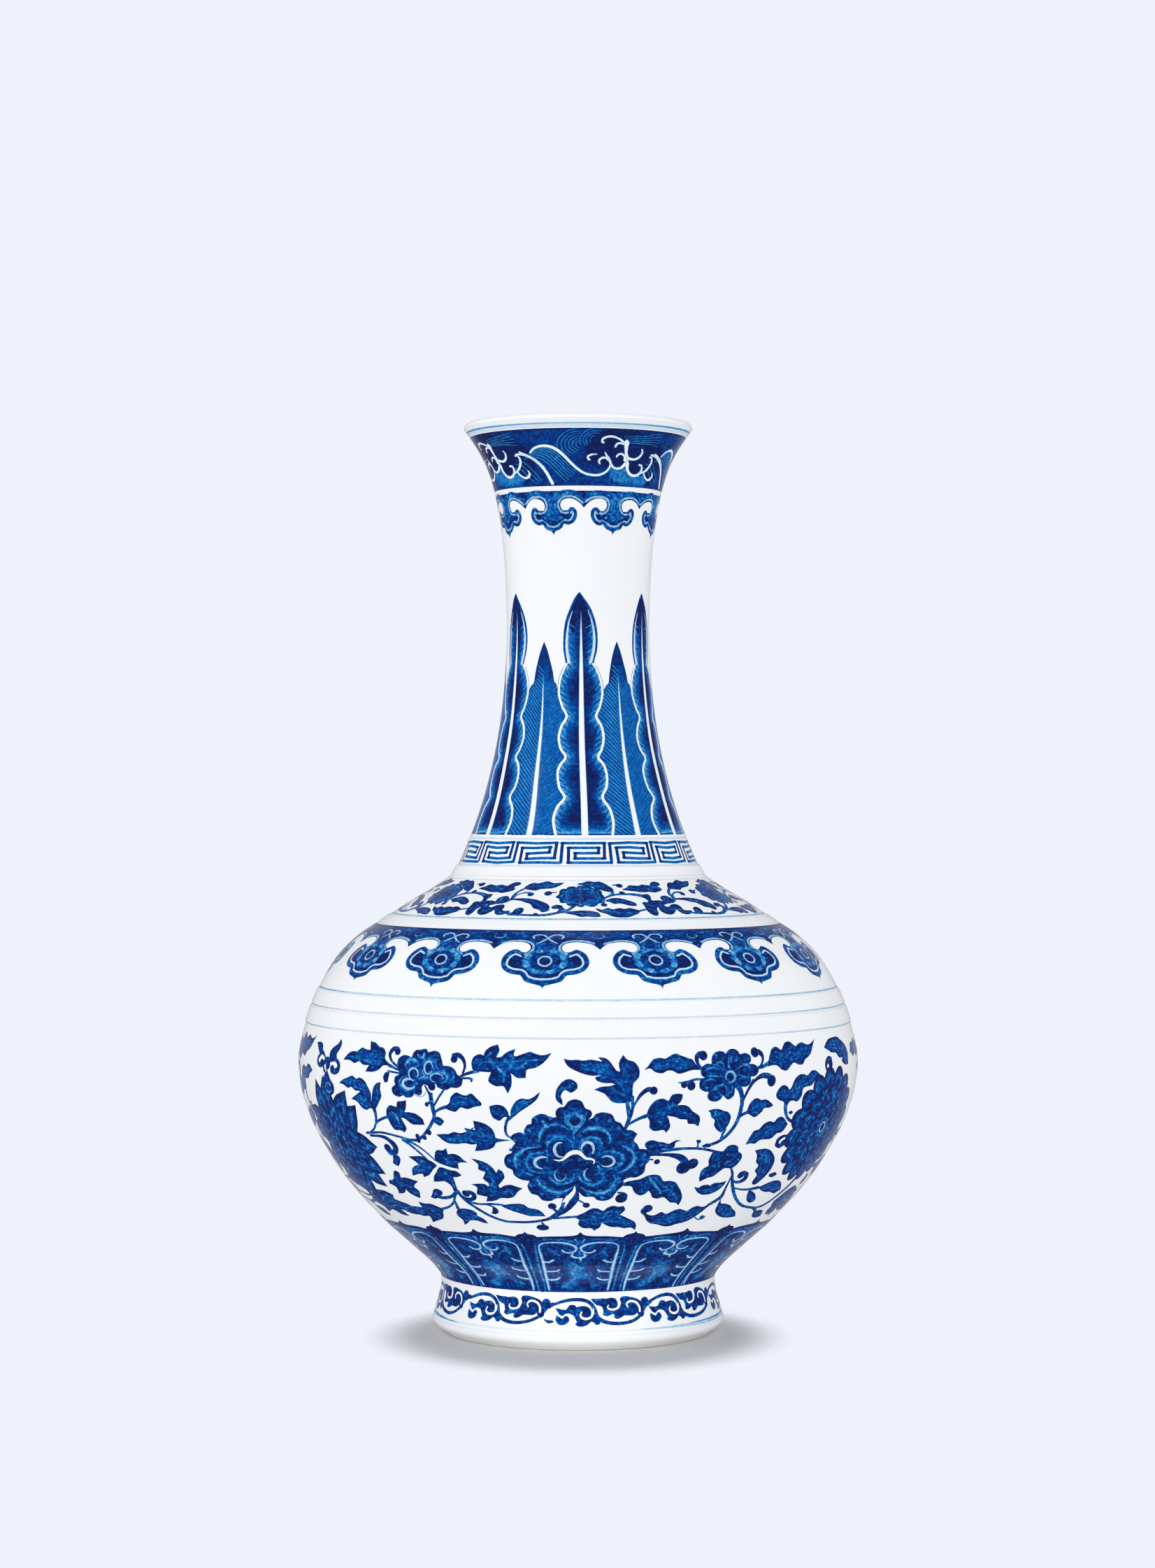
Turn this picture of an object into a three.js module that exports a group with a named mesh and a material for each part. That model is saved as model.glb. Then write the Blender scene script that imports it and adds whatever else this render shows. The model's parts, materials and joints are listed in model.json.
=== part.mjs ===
// A shangping: a tall porcelain bottle vase with a flared mouth, long neck, round belly and turned foot.
// It is thrown in four sections that are luted together with slip before glazing and firing.
// Millimetres, +Z up. The origin is the centre of the foot's resting face.
import * as THREE from "three";

// Driving sizes of the outline, from the foot to the lip.
const footRimRadius = 56.8; // outer edge of the bare ring that the vase rests on
const footFlareRadius = 62.6; // widest point of the foot
const footFlareHeight = 5.3;
const waistRadius = 58.7; // narrowest point between the foot and the belly
const waistHeight = 22;
const bellyRadius = 120; // widest point of the vase
const bellyHeight = 118;
const neckBaseRadius = 54.2; // where the shoulder turns up into the neck
const neckBaseHeight = 196;
const throatRadius = 30.7; // narrowest point of the neck
const throatHeight = 300;
const lipRadius = 49.2; // widest point of the mouth
const lipHeight = 387.1;

// Walls and the foot's recess.
const bellyWall = 5.2;
const neckWall = 4;
const thinningHeight = 20; // height above the neck base at which the wall has thinned to the neck's
const lipRound = 2.3; // radius of the rounded lip, a little thicker than the wall
const floorThickness = 6.5;
const footRimWidth = 4.2; // the flat, unglazed resting ring
const footWall = 8.5; // thickness of the foot ring where it meets the floor
const footChamfer = 1.2; // bevel on both edges of the resting ring

// Luting joints, each a thin layer of slip with a smoothed bead inside.
const slipThickness = 0.8;
const slipBead = 1.1;

// Turned bands of the outside, each raised a little above the wall: [lower edge, upper edge, relief].
const neckRib = [195.9, 200.3, 0.8];
const shoulderRib = [176.0, 179.2, 0.7];
const upperBellyBand = [141.1, 147.9, 0.45];
const lowerBellyBand = [133.4, 140.5, 0.45];
const ribs = [lowerBellyBand, upperBellyBand, shoulderRib, neckRib];
const ribEdge = 0.5; // height over which a rib rises to its relief

// Form of each stretch between two driving sizes, as [share of the height, share of the change in radius].
const rimToFlare = [[0.25, 0.37], [0.56, 0.7], [0.83, 0.91]];
const flareToWaist = [[0.11, 0.1], [0.25, 0.27], [0.4, 0.45], [0.55, 0.64], [0.7, 0.81], [0.85, 0.94]];
const waistToBelly = [
  [0.03, 0.007], [0.057, 0.035], [0.083, 0.07], [0.115, 0.121], [0.15, 0.184], [0.2, 0.27], [0.26, 0.377],
  [0.333, 0.488], [0.417, 0.609], [0.504, 0.713], [0.619, 0.826], [0.733, 0.915], [0.867, 0.981],
];
const bellyToNeck = [
  [0.15, 0.034], [0.28, 0.081], [0.41, 0.149], [0.54, 0.242], [0.62, 0.327], [0.69, 0.427], [0.76, 0.561],
  [0.84, 0.705], [0.93, 0.882],
];
const neckToThroat = [
  [0.04, 0.111], [0.1, 0.228], [0.2, 0.408], [0.33, 0.596], [0.48, 0.762], [0.63, 0.881], [0.8, 0.962],
];
const throatToLip = [
  [0.229, 0.02], [0.398, 0.072], [0.547, 0.157], [0.686, 0.28], [0.795, 0.435], [0.875, 0.61], [0.945, 0.815],
];

const latheSegments = 60;

// Stations { z, r } of one stretch, its start included and its end left to the next stretch.
function stretch(zStart, rStart, zEnd, rEnd, form) {
  return [[0, 0], ...form].map(([h, w]) => ({ z: zStart + h * (zEnd - zStart), r: rStart + w * (rEnd - rStart) }));
}

const outline = [
  ...stretch(footChamfer, footRimRadius + footChamfer, footFlareHeight, footFlareRadius, rimToFlare),
  ...stretch(footFlareHeight, footFlareRadius, waistHeight, waistRadius, flareToWaist),
  ...stretch(waistHeight, waistRadius, bellyHeight, bellyRadius, waistToBelly),
  ...stretch(bellyHeight, bellyRadius, neckBaseHeight, neckBaseRadius, bellyToNeck),
  ...stretch(neckBaseHeight, neckBaseRadius, throatHeight, throatRadius, neckToThroat),
  ...stretch(throatHeight, throatRadius, lipHeight, lipRadius, throatToLip),
  { z: lipHeight, r: lipRadius },
];

// Slope dr/dz of a line of stations at station i.
function slopeAt(stations, i) {
  const before = stations[Math.max(0, i - 1)];
  const after = stations[Math.min(stations.length - 1, i + 1)];
  return (after.r - before.r) / (after.z - before.z);
}

// Radius of a smooth curve through the stations at height z.
function radiusAt(stations, z) {
  let i = stations.findIndex((s, k) => k > 0 && z <= s.z);
  if (i < 0) i = stations.length - 1;
  const a = stations[i - 1];
  const b = stations[i];
  const span = b.z - a.z;
  const t = Math.min(1, Math.max(0, (z - a.z) / span));
  const ease = t * t * (3 - 2 * t);
  return (
    a.r * (1 - ease) +
    b.r * ease +
    slopeAt(stations, i - 1) * span * t * (1 - t) ** 2 -
    slopeAt(stations, i) * span * t * t * (1 - t)
  );
}

// Wall thickness, square to the wall: the belly's below the neck base, thinning to the neck's above it.
function wallAt(z) {
  const up = THREE.MathUtils.smoothstep(z, bellyHeight, neckBaseHeight + thinningHeight);
  return THREE.MathUtils.lerp(bellyWall, neckWall, up);
}

// The inside of the wall, from the outline moved in by the wall's thickness.
const inside = outline
  .map((s, i) => {
    const slope = slopeAt(outline, i);
    const lean = Math.hypot(1, slope);
    return { z: s.z + (slope * wallAt(s.z)) / lean, r: s.r - wallAt(s.z) / lean };
  })
  .filter((s) => s.z > waistHeight + floorThickness + bellyWall);

// How far a rib stands out of the wall at height z.
function reliefAt(z) {
  return ribs.reduce((most, [low, high, relief]) => {
    const into = Math.min(z - low, high - z) / ribEdge;
    return Math.max(most, relief * THREE.MathUtils.clamp(into, 0, 1));
  }, 0);
}

const outer = (z) => radiusAt(outline, z) + reliefAt(z);
const inner = (z) => radiusAt(inside, z);

// Heights from low to high: the outline's own stations, and the corners of any rib between them.
function outerHeights(low, high) {
  const corners = ribs.flatMap(([a, b]) => [a, a + ribEdge, b - ribEdge, b]);
  const all = [low, ...outline.map((s) => s.z), ...corners, high].sort((a, b) => a - b);
  const least = ribEdge / 2;
  return all.filter((z, i) => z >= low && z <= high && (i === 0 || z - all[i - 1] > least || z === high));
}

function innerHeights(low, high) {
  const least = 1;
  const between = inside.map((s) => s.z).filter((z) => z > low + least && z < high - least);
  return [low, ...between, high];
}

const outerWall = (low, high) => outerHeights(low, high).map((z) => [outer(z), z]);
const innerWall = (low, high) => innerHeights(low, high).map((z) => [inner(z), z]);

// Turns a profile of [radius, height] points about the Z axis into a closed solid.
function turned(points) {
  const profile = points.map(([r, z]) => new THREE.Vector2(r, z));
  if (points[0][0] > 0) profile.push(profile[0].clone());
  return new THREE.LatheGeometry(profile, latheSegments).rotateX(Math.PI / 2);
}

const porcelain = new THREE.MeshStandardMaterial({ color: 0xf4f7f8, roughness: 0.12, metalness: 0 });
const slip = new THREE.MeshStandardMaterial({ color: 0xe9e6df, roughness: 0.8, metalness: 0 });

function named(name, geometry, material) {
  const mesh = new THREE.Mesh(geometry, material);
  mesh.name = name;
  return mesh;
}

const above = (joint) => joint + slipThickness / 2;
const below = (joint) => joint - slipThickness / 2;

// Joint heights: at the neck base under its rib, at the widest point, and at the waist.
const neckJoint = neckRib[0] - 1.2;
const bellyJoint = bellyHeight;
const footJoint = waistHeight;

// Mouth and neck, with the flared, rounded lip.
function neckSection() {
  const low = above(neckJoint);
  const lipCentre = { r: lipRadius - lipRound, z: lipHeight };
  const lipSteps = 6;
  const lip = Array.from({ length: lipSteps + 1 }, (_, i) => {
    const turn = (i / lipSteps) * Math.PI;
    return [lipCentre.r + lipRound * Math.cos(turn), lipCentre.z + lipRound * Math.sin(turn)];
  });
  const underLip = lipHeight - lipRound;
  return turned([...outerWall(low, underLip), ...lip, ...innerWall(low, underLip - lipRound).reverse()]);
}

// Shoulder and upper belly, a bowl turned upside down.
function shoulderSection() {
  const low = above(bellyJoint);
  const high = below(neckJoint);
  return turned([...outerWall(low, high), ...innerWall(low, high).reverse()]);
}

// Lower belly, a bowl with its own floor.
function lowerBowl() {
  const low = above(footJoint);
  const high = below(bellyJoint);
  const floor = low + floorThickness;
  const heel = inside[0];
  const floorCurve = [[heel.r * 0.9, floor + (heel.z - floor) * 0.42], [heel.r * 0.72, floor + 0.8], [0, floor]];
  return turned([[0, low], ...outerWall(low, high), ...innerWall(heel.z, high).reverse(), ...floorCurve]);
}

// Turned foot ring, flared outside, with a chamfered resting ring and a recess under the floor.
function footRing() {
  const high = below(footJoint);
  const rimInner = footRimRadius - footRimWidth;
  const rootInner = waistRadius - footWall;
  return turned([
    [rimInner, 0],
    [footRimRadius, 0],
    ...outerWall(footChamfer, high),
    [rootInner, high],
    [rootInner, high - footChamfer],
    [rimInner - footChamfer, footChamfer * 1.5],
  ]);
}

// Layer of slip in a joint, flush with the outside, with a rounded bead inside.
function slipLayer(joint, innerRadius) {
  const low = below(joint);
  const high = above(joint);
  return turned([
    [outer(low), low],
    [outer(high), high],
    [innerRadius, high],
    [innerRadius - slipBead, joint],
    [innerRadius, low],
  ]);
}

const vase = new THREE.Group();
vase.add(
  named("neck_section", neckSection(), porcelain),
  named("shoulder_section", shoulderSection(), porcelain),
  named("lower_bowl_section", lowerBowl(), porcelain),
  named("foot_ring", footRing(), porcelain),
  named("neck_luting_slip", slipLayer(neckJoint, inner(neckJoint)), slip),
  named("belly_luting_slip", slipLayer(bellyJoint, inner(bellyJoint)), slip),
  named("foot_luting_slip", slipLayer(footJoint, waistRadius - footWall), slip),
);

export default vase;
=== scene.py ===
import json
import math

import bmesh
import bpy
import numpy as np
from bpy.props import FloatProperty, FloatVectorProperty, IntProperty, PointerProperty
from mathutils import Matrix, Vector
from mathutils.geometry import delaunay_2d_cdt

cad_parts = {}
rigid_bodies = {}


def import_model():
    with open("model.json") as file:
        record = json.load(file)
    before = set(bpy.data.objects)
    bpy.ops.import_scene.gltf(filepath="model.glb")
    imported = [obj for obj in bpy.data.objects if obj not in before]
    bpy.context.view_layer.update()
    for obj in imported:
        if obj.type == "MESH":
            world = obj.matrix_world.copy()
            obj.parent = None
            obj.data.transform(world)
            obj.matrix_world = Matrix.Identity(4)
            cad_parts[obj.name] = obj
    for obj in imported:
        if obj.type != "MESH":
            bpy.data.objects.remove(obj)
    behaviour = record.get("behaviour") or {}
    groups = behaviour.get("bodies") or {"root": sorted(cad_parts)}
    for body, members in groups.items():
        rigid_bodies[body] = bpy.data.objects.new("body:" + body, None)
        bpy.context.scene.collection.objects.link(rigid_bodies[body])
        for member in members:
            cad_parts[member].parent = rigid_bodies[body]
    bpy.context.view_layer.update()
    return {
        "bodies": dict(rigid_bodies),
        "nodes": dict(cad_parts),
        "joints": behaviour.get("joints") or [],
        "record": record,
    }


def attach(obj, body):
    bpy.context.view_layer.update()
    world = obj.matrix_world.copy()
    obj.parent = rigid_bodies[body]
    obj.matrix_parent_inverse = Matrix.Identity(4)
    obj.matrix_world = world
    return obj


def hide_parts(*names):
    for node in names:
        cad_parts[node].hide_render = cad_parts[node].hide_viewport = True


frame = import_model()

bl_info = {
    "name": "Painted bottle vase",
    "version": (1, 0, 0),
    "blender": (4, 5, 0),
    "location": "View3D > Sidebar > Vase",
    "description": "Builds a porcelain bottle vase painted in underglaze blue, and the studio round it",
    "category": "Object",
}

MM = 0.001

# Strengths of the cobalt wash, from bare white glaze to the thickest line.
BARE, PALE, LIGHT, MID, WASH, DEEP, DARK = 0.0, 0.2, 0.38, 0.55, 0.68, 0.82, 1.0


def metres(name, description, default):
    """A size"""
    return FloatProperty(name=name, description=description, default=default, unit="LENGTH")


def share(name, description, default):
    """A number from 0 to 1"""
    return FloatProperty(name=name, description=description, default=default, min=0, max=1)


def strength(name, description, default):
    """A number that isn't negative"""
    return FloatProperty(name=name, description=description, default=default, min=0)


def colour(name, description, *default):
    """A linear colour"""
    return FloatVectorProperty(
        name=name, description=description, subtype="COLOR", size=3, default=default, min=0, max=1)


class VaseSizes(bpy.types.PropertyGroup):
    """Sizes of the turned form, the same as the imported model's"""

    foot_rim_radius: metres("Foot rim radius", "Outer edge of the bare resting ring", 0.0568)
    foot_flare_radius: metres("Foot flare radius", "Widest point of the foot", 0.0626)
    foot_flare_height: metres("Foot flare height", "Height of the foot's widest point", 0.0053)
    waist_radius: metres("Waist radius", "Narrowest point under the belly", 0.0587)
    waist_height: metres("Waist height", "Height of the waist", 0.022)
    belly_radius: metres("Belly radius", "Widest point of the vase", 0.12)
    belly_height: metres("Belly height", "Height of the widest point", 0.118)
    neck_base_radius: metres("Neck base radius", "Where the shoulder turns up into the neck", 0.0542)
    neck_base_height: metres("Neck base height", "Height of the neck base", 0.196)
    throat_radius: metres("Throat radius", "Narrowest point of the neck", 0.0307)
    throat_height: metres("Throat height", "Height of the narrowest point", 0.3)
    lip_radius: metres("Lip radius", "Widest point of the mouth", 0.0492)
    lip_height: metres("Lip height", "Height of the mouth's widest point", 0.3871)
    belly_wall: metres("Belly wall", "Thickness of the wall at the belly", 0.0052)
    neck_wall: metres("Neck wall", "Thickness of the wall at the neck", 0.004)
    columns: IntProperty(
        name="Columns", description="Facets round the vase", default=144, min=36, max=360)


class VaseFinish(bpy.types.PropertyGroup):
    """Colours and gloss of the glaze and the cobalt"""

    glaze: colour("Glaze", "Colour of the bare glaze", 0.93, 0.936, 0.946)
    pale_blue: colour("Pale blue", "Cobalt washed out to almost nothing", 0.305, 0.546, 0.753)
    light_blue: colour("Light blue", "Thin wash of cobalt", 0.027, 0.285, 0.610)
    mid_blue: colour("Mid blue", "Wash of cobalt", 0.0030, 0.110, 0.415)
    wash_blue: colour("Wash blue", "Full wash of cobalt", 0.0015, 0.0560, 0.285)
    deep_blue: colour("Deep blue", "Second wash over the first", 0.0030, 0.0290, 0.185)
    dark_blue: colour("Dark blue", "Thickest cobalt, in the outlines", 0.0065, 0.0135, 0.092)
    streaks: share("Streaks", "How much the ink varies along the brush", 0.24)
    specks: share("Specks", "How much the ink varies in fine specks", 0.26)
    pools: share("Pools", "How much the ink varies from place to place", 0.08)
    roughness: share("Roughness", "Roughness of the glaze", 0.1)


class VaseStudio(bpy.types.PropertyGroup):
    """Camera, floor and light"""

    camera_distance: metres("Camera distance", "From the vase's axis", 1.5)
    camera_height: metres("Camera height", "Above the floor", 0.2346)
    camera_side: metres("Camera side", "Right of the vase's axis", -0.00025)
    focal_length: FloatProperty(
        name="Focal length", description="Of the camera's lens, in millimetres", default=80, unit="CAMERA")
    daylight: strength("Daylight", "Strength of the light from all round", 0.84)
    reflected: strength("Reflected", "Strength of the same light in reflections", 0.1)
    backdrop_shine: strength("Backdrop shine", "Strength of the backdrop in the glaze's edges", 0.42)
    backdrop: colour("Backdrop", "Colour of the backdrop", 0.863, 0.888, 0.965)
    # The floor's grey, darker than the backdrop, is painted shadow: it darkens the floor round the foot,
    # over the shade the lamps cast there.
    floor: colour("Floor", "Colour of the floor near the vase", 0.72, 0.705, 0.69)


# Form of each stretch between two driving sizes, as (share of the height, share of the change in radius).
RIM_TO_FLARE = ((0.25, 0.37), (0.56, 0.7), (0.83, 0.91))
FLARE_TO_WAIST = ((0.11, 0.1), (0.25, 0.27), (0.4, 0.45), (0.55, 0.64), (0.7, 0.81), (0.85, 0.94))
WAIST_TO_BELLY = (
    (0.03, 0.007), (0.057, 0.035), (0.083, 0.07), (0.115, 0.121), (0.15, 0.184), (0.2, 0.27), (0.26, 0.377),
    (0.333, 0.488), (0.417, 0.609), (0.504, 0.713), (0.619, 0.826), (0.733, 0.915), (0.867, 0.981))
BELLY_TO_NECK = (
    (0.15, 0.034), (0.28, 0.081), (0.41, 0.149), (0.54, 0.242), (0.62, 0.327), (0.69, 0.427), (0.76, 0.561),
    (0.84, 0.705), (0.93, 0.882))
NECK_TO_THROAT = (
    (0.04, 0.111), (0.1, 0.228), (0.2, 0.408), (0.33, 0.596), (0.48, 0.762), (0.63, 0.881), (0.8, 0.962))
THROAT_TO_LIP = (
    (0.229, 0.02), (0.398, 0.072), (0.547, 0.157), (0.686, 0.28), (0.795, 0.435), (0.875, 0.61),
    (0.945, 0.815))

# Turned bands: lower edge, upper edge and relief, in millimetres.
NECK_RIB = (195.9, 200.3, 0.8)
SHOULDER_RIB = (176.0, 179.2, 0.7)
UPPER_BELLY_BAND = (141.1, 147.9, 0.45)
LOWER_BELLY_BAND = (133.4, 140.5, 0.45)
RIBS = (LOWER_BELLY_BAND, UPPER_BELLY_BAND, SHOULDER_RIB, NECK_RIB)

# More of the form, in millimetres.
RIB_EDGE = 0.5  # height over which a band rises to its relief
CHAMFER = 1.2  # bevel of the foot's resting ring
FOOT_RIM_WIDTH = 4.2  # the bare resting ring
FOOT_WALL = 8.5  # thickness of the foot ring where it meets the floor
LIP_ROUND = 2.3  # radius of the rounded lip
FLOOR = 6.5  # thickness of the floor
THINNING = 20  # height above the neck base at which the wall has thinned to the neck's
NECK_JOINT = 194.7  # height of the joint under the neck's rib
SLIP_HALF = 0.4  # half the thickness of a layer of slip
GLAZE_DEPTH = 0.4  # how far the glazed skin covers a layer of slip
SLIP_PLAY = 0.02  # how much a layer of slip is drawn smaller than its joint
RISE_AT_CHAMFER = 2.35  # rise up the wall at which its profile starts
WALL_STEPS = 8000  # heights at which the smooth profile is worked out

# How the brush and the ink behave.
FLOW_STEP = 0.7  # millimetres between the points of a smooth line
SHARP_TURN = 0.2  # cosine of the turn from which a corner of an outline stays sharp
LIFT = 0.45  # millimetres by which the patterns of the neck and the foot are moved up the wall
HAND_SWAY = 0.3  # millimetres, roughly, that a repeated motif strays from the first one
BLEED = 0.12  # how much wider a dark stroke dries than it was drawn, in millimetres
RUN, RUN_WIDTH = 0.5, 0.22  # ink and width in millimetres of the edge where cobalt has run into the glaze
MELT_FROM = 0.45  # ink from which a blue runs into the blue beside it
MELT = 0.7  # how far it runs

# How the mesh is made.
RING_STEP = 2.5  # degrees between the vertices of a line that goes all the way round
ROW_PITCH = 3.0  # millimetres between the rows of vertices
THIN_OFF, THIN_LONG = 0.06, 9  # a point is dropped if it bends its line less, and bridges less, in mm
MERGE = 2e-6  # metres within which vertices are merged
UV_SKIN = 0.9  # share of the picture's height that the painted skin takes
UV_BELOW, UV_ABOVE, UV_LINING = 0.91, 0.96, 0.04  # where the linings lie in the picture, and their height
UV_END = 3.0  # share of the picture that a metre of a joint's hidden end takes


def stretch(start, end, form):
    """Stations from start up to, but not including, end"""
    (z0, r0), (z1, r1) = start, end
    return [start] + [(z0 + h * (z1 - z0), r0 + w * (r1 - r0)) for h, w in form]


def ease(x):
    """A smooth rise from 0 to 1"""
    x = np.clip(x, 0, 1)
    return x * x * (3 - 2 * x)


class Wall:
    """The turned outside of the vase, in millimetres.

    A place on it is a turn round the axis in degrees, 0 at the front, and a rise up its slope in
    millimetres.
    """

    def __init__(self, sizes):
        mm = lambda name: getattr(sizes, name) / MM
        flare = (mm("foot_flare_height"), mm("foot_flare_radius"))
        waist = (mm("waist_height"), mm("waist_radius"))
        belly = (mm("belly_height"), mm("belly_radius"))
        neck = (mm("neck_base_height"), mm("neck_base_radius"))
        throat = (mm("throat_height"), mm("throat_radius"))
        lip = (mm("lip_height"), mm("lip_radius"))
        rim = (CHAMFER, mm("foot_rim_radius") + CHAMFER)
        stations = []
        for start, end, form in (
                (rim, flare, RIM_TO_FLARE), (flare, waist, FLARE_TO_WAIST), (waist, belly, WAIST_TO_BELLY),
                (belly, neck, BELLY_TO_NECK), (neck, throat, NECK_TO_THROAT), (throat, lip, THROAT_TO_LIP)):
            stations += stretch(start, end, form)
        stations.append(lip)
        z, r = (np.array(v) for v in zip(*stations))
        reach = np.arange(len(z))
        before, after = np.maximum(reach - 1, 0), np.minimum(reach + 1, len(z) - 1)
        slope = (r[after] - r[before]) / (z[after] - z[before])
        self.z = np.linspace(z[0], z[-1], WALL_STEPS)
        k = np.clip(np.searchsorted(z, self.z) - 1, 0, len(z) - 2)
        span = z[k + 1] - z[k]
        t = (self.z - z[k]) / span
        soft = ease(t)
        self.r = (r[k] * (1 - soft) + r[k + 1] * soft
                  + slope[k] * span * t * (1 - t) ** 2 - slope[k + 1] * span * t * t * (1 - t))
        steps = np.hypot(np.diff(self.z), np.diff(self.r))
        self.rise = RISE_AT_CHAMFER + np.concatenate([[0], np.cumsum(steps)])
        relief = np.zeros_like(self.z)
        for low, high, proud in RIBS:
            inside = np.minimum(self.z - low, high - self.z) / RIB_EDGE
            relief = np.maximum(relief, proud * ease(inside))
        self.skin = self.r + relief
        self.lean = np.gradient(self.skin, self.z)
        thick = mm("belly_wall") + (mm("neck_wall") - mm("belly_wall")) * ease(
            (self.z - belly[0]) / (neck[0] + THINNING - belly[0]))
        base_lean = np.gradient(self.r, self.z)
        run = np.hypot(1, base_lean)
        self.inner_z = self.z + base_lean * thick / run
        self.inner_r = self.r - thick / run

    def at(self, name, rise):
        """One of the wall's measures at a rise"""
        return np.interp(rise, self.rise, getattr(self, name))

    def outer_radius(self, z):
        """Radius of the outside at a height"""
        return float(np.interp(z, self.z, self.skin))

    def rise_at(self, z):
        """Rise up the slope at a height"""
        return float(np.interp(z, self.z, self.rise))

    def inside_radius(self, z):
        """Radius of the inside at a height"""
        order = np.argsort(self.inner_z)
        return float(np.interp(z, self.inner_z[order], self.inner_r[order]))


def pairs(*numbers):
    """Points from numbers written one after the other"""
    return np.reshape(numbers, (-1, 2)).astype(float)


def unit(ways):
    """Directions of length 1"""
    return ways / np.maximum(np.linalg.norm(ways, axis=1, keepdims=True), 1e-9)


def left_of(ways):
    """Directions a quarter turn to the left"""
    return np.column_stack([-ways[:, 1], ways[:, 0]])


def flow(points, closed=False):
    """A smooth line through points given in millimetres. A corner that turns far stays sharp"""
    p = np.asarray(points, float)
    n = len(p)
    if n < 3:
        return p
    chord = unit(np.roll(p, -1, 0) - p)
    sharp = (chord * np.roll(chord, 1, 0)).sum(1) < SHARP_TURN
    if not closed:
        sharp[[0, -1]] = True
    out = []
    for i in range(n if closed else n - 1):
        j = (i + 1) % n
        a, b = p[i], p[j]
        start = b - a if sharp[i] else (b - p[i - 1]) / 2
        end = b - a if sharp[j] else (p[(j + 1) % n] - a) / 2
        count = max(2, math.ceil(np.linalg.norm(b - a) / FLOW_STEP))
        t = np.arange(count)[:, None] / count
        out.append((2 * t ** 3 - 3 * t ** 2 + 1) * a + (t ** 3 - 2 * t ** 2 + t) * start
                   + (3 * t ** 2 - 2 * t ** 3) * b + (t ** 3 - t ** 2) * end)
    if not closed:
        out.append(p[-1:])
    return np.concatenate(out)


def turned_left(line):
    """The closed line, ordered so that its inside is on the left"""
    x, y = line.T
    return line if (x * np.roll(y, -1) - np.roll(x, -1) * y).sum() > 0 else line[::-1]


def inset(line, depth):
    """A closed line with its inside on the left, moved in by a depth"""
    return line + left_of(unit(np.roll(line, -1, 0) - np.roll(line, 1, 0))) * depth


def long_way(line):
    """Direction in which a shape is longest"""
    values, vectors = np.linalg.eigh(np.cov((line - line.mean(0)).T))
    return vectors[:, 1] * (1 if vectors[0, 1] >= 0 else -1)


def spine(line, count=12):
    """Runs of (middle, half width) stations along the middle of a closed shape, and its long direction"""
    way = long_way(line)
    side = np.array([-way[1], way[0]])
    along, across = line @ way, line @ side
    ahead, beyond = np.roll(along, -1), np.roll(across, -1)
    runs = [[]]
    for a in np.linspace(along.min(), along.max(), count + 2)[1:-1]:
        cut = (along <= a) != (ahead <= a)
        share_of_side = (a - along[cut]) / (ahead[cut] - along[cut])
        b = np.sort(across[cut] + share_of_side * (beyond[cut] - across[cut]))
        widths = b[1::2] - b[::2]
        best = int(widths.argmax())
        middle, half = (b[2 * best] + b[2 * best + 1]) / 2, widths[best] / 2
        if runs[-1] and abs(middle - runs[-1][-1][1]) > half + 0.4:
            runs.append([])
        runs[-1].append((a, middle, half))
    return [np.array(run) for run in runs if len(run) > 2], way, side


def thinned(line):
    """The closed line without the points that hardly bend it"""
    for _ in range(4):
        if len(line) < 8:
            break
        chord = np.roll(line, -1, 0) - np.roll(line, 1, 0)
        arm = line - np.roll(line, 1, 0)
        length = np.linalg.norm(chord, axis=1)
        off = abs(chord[:, 0] * arm[:, 1] - chord[:, 1] * arm[:, 0]) / np.maximum(length, 1e-9)
        keep = (off > THIN_OFF) | (length > THIN_LONG)
        keep[::2] = True
        line = line[keep]
    return line


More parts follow.
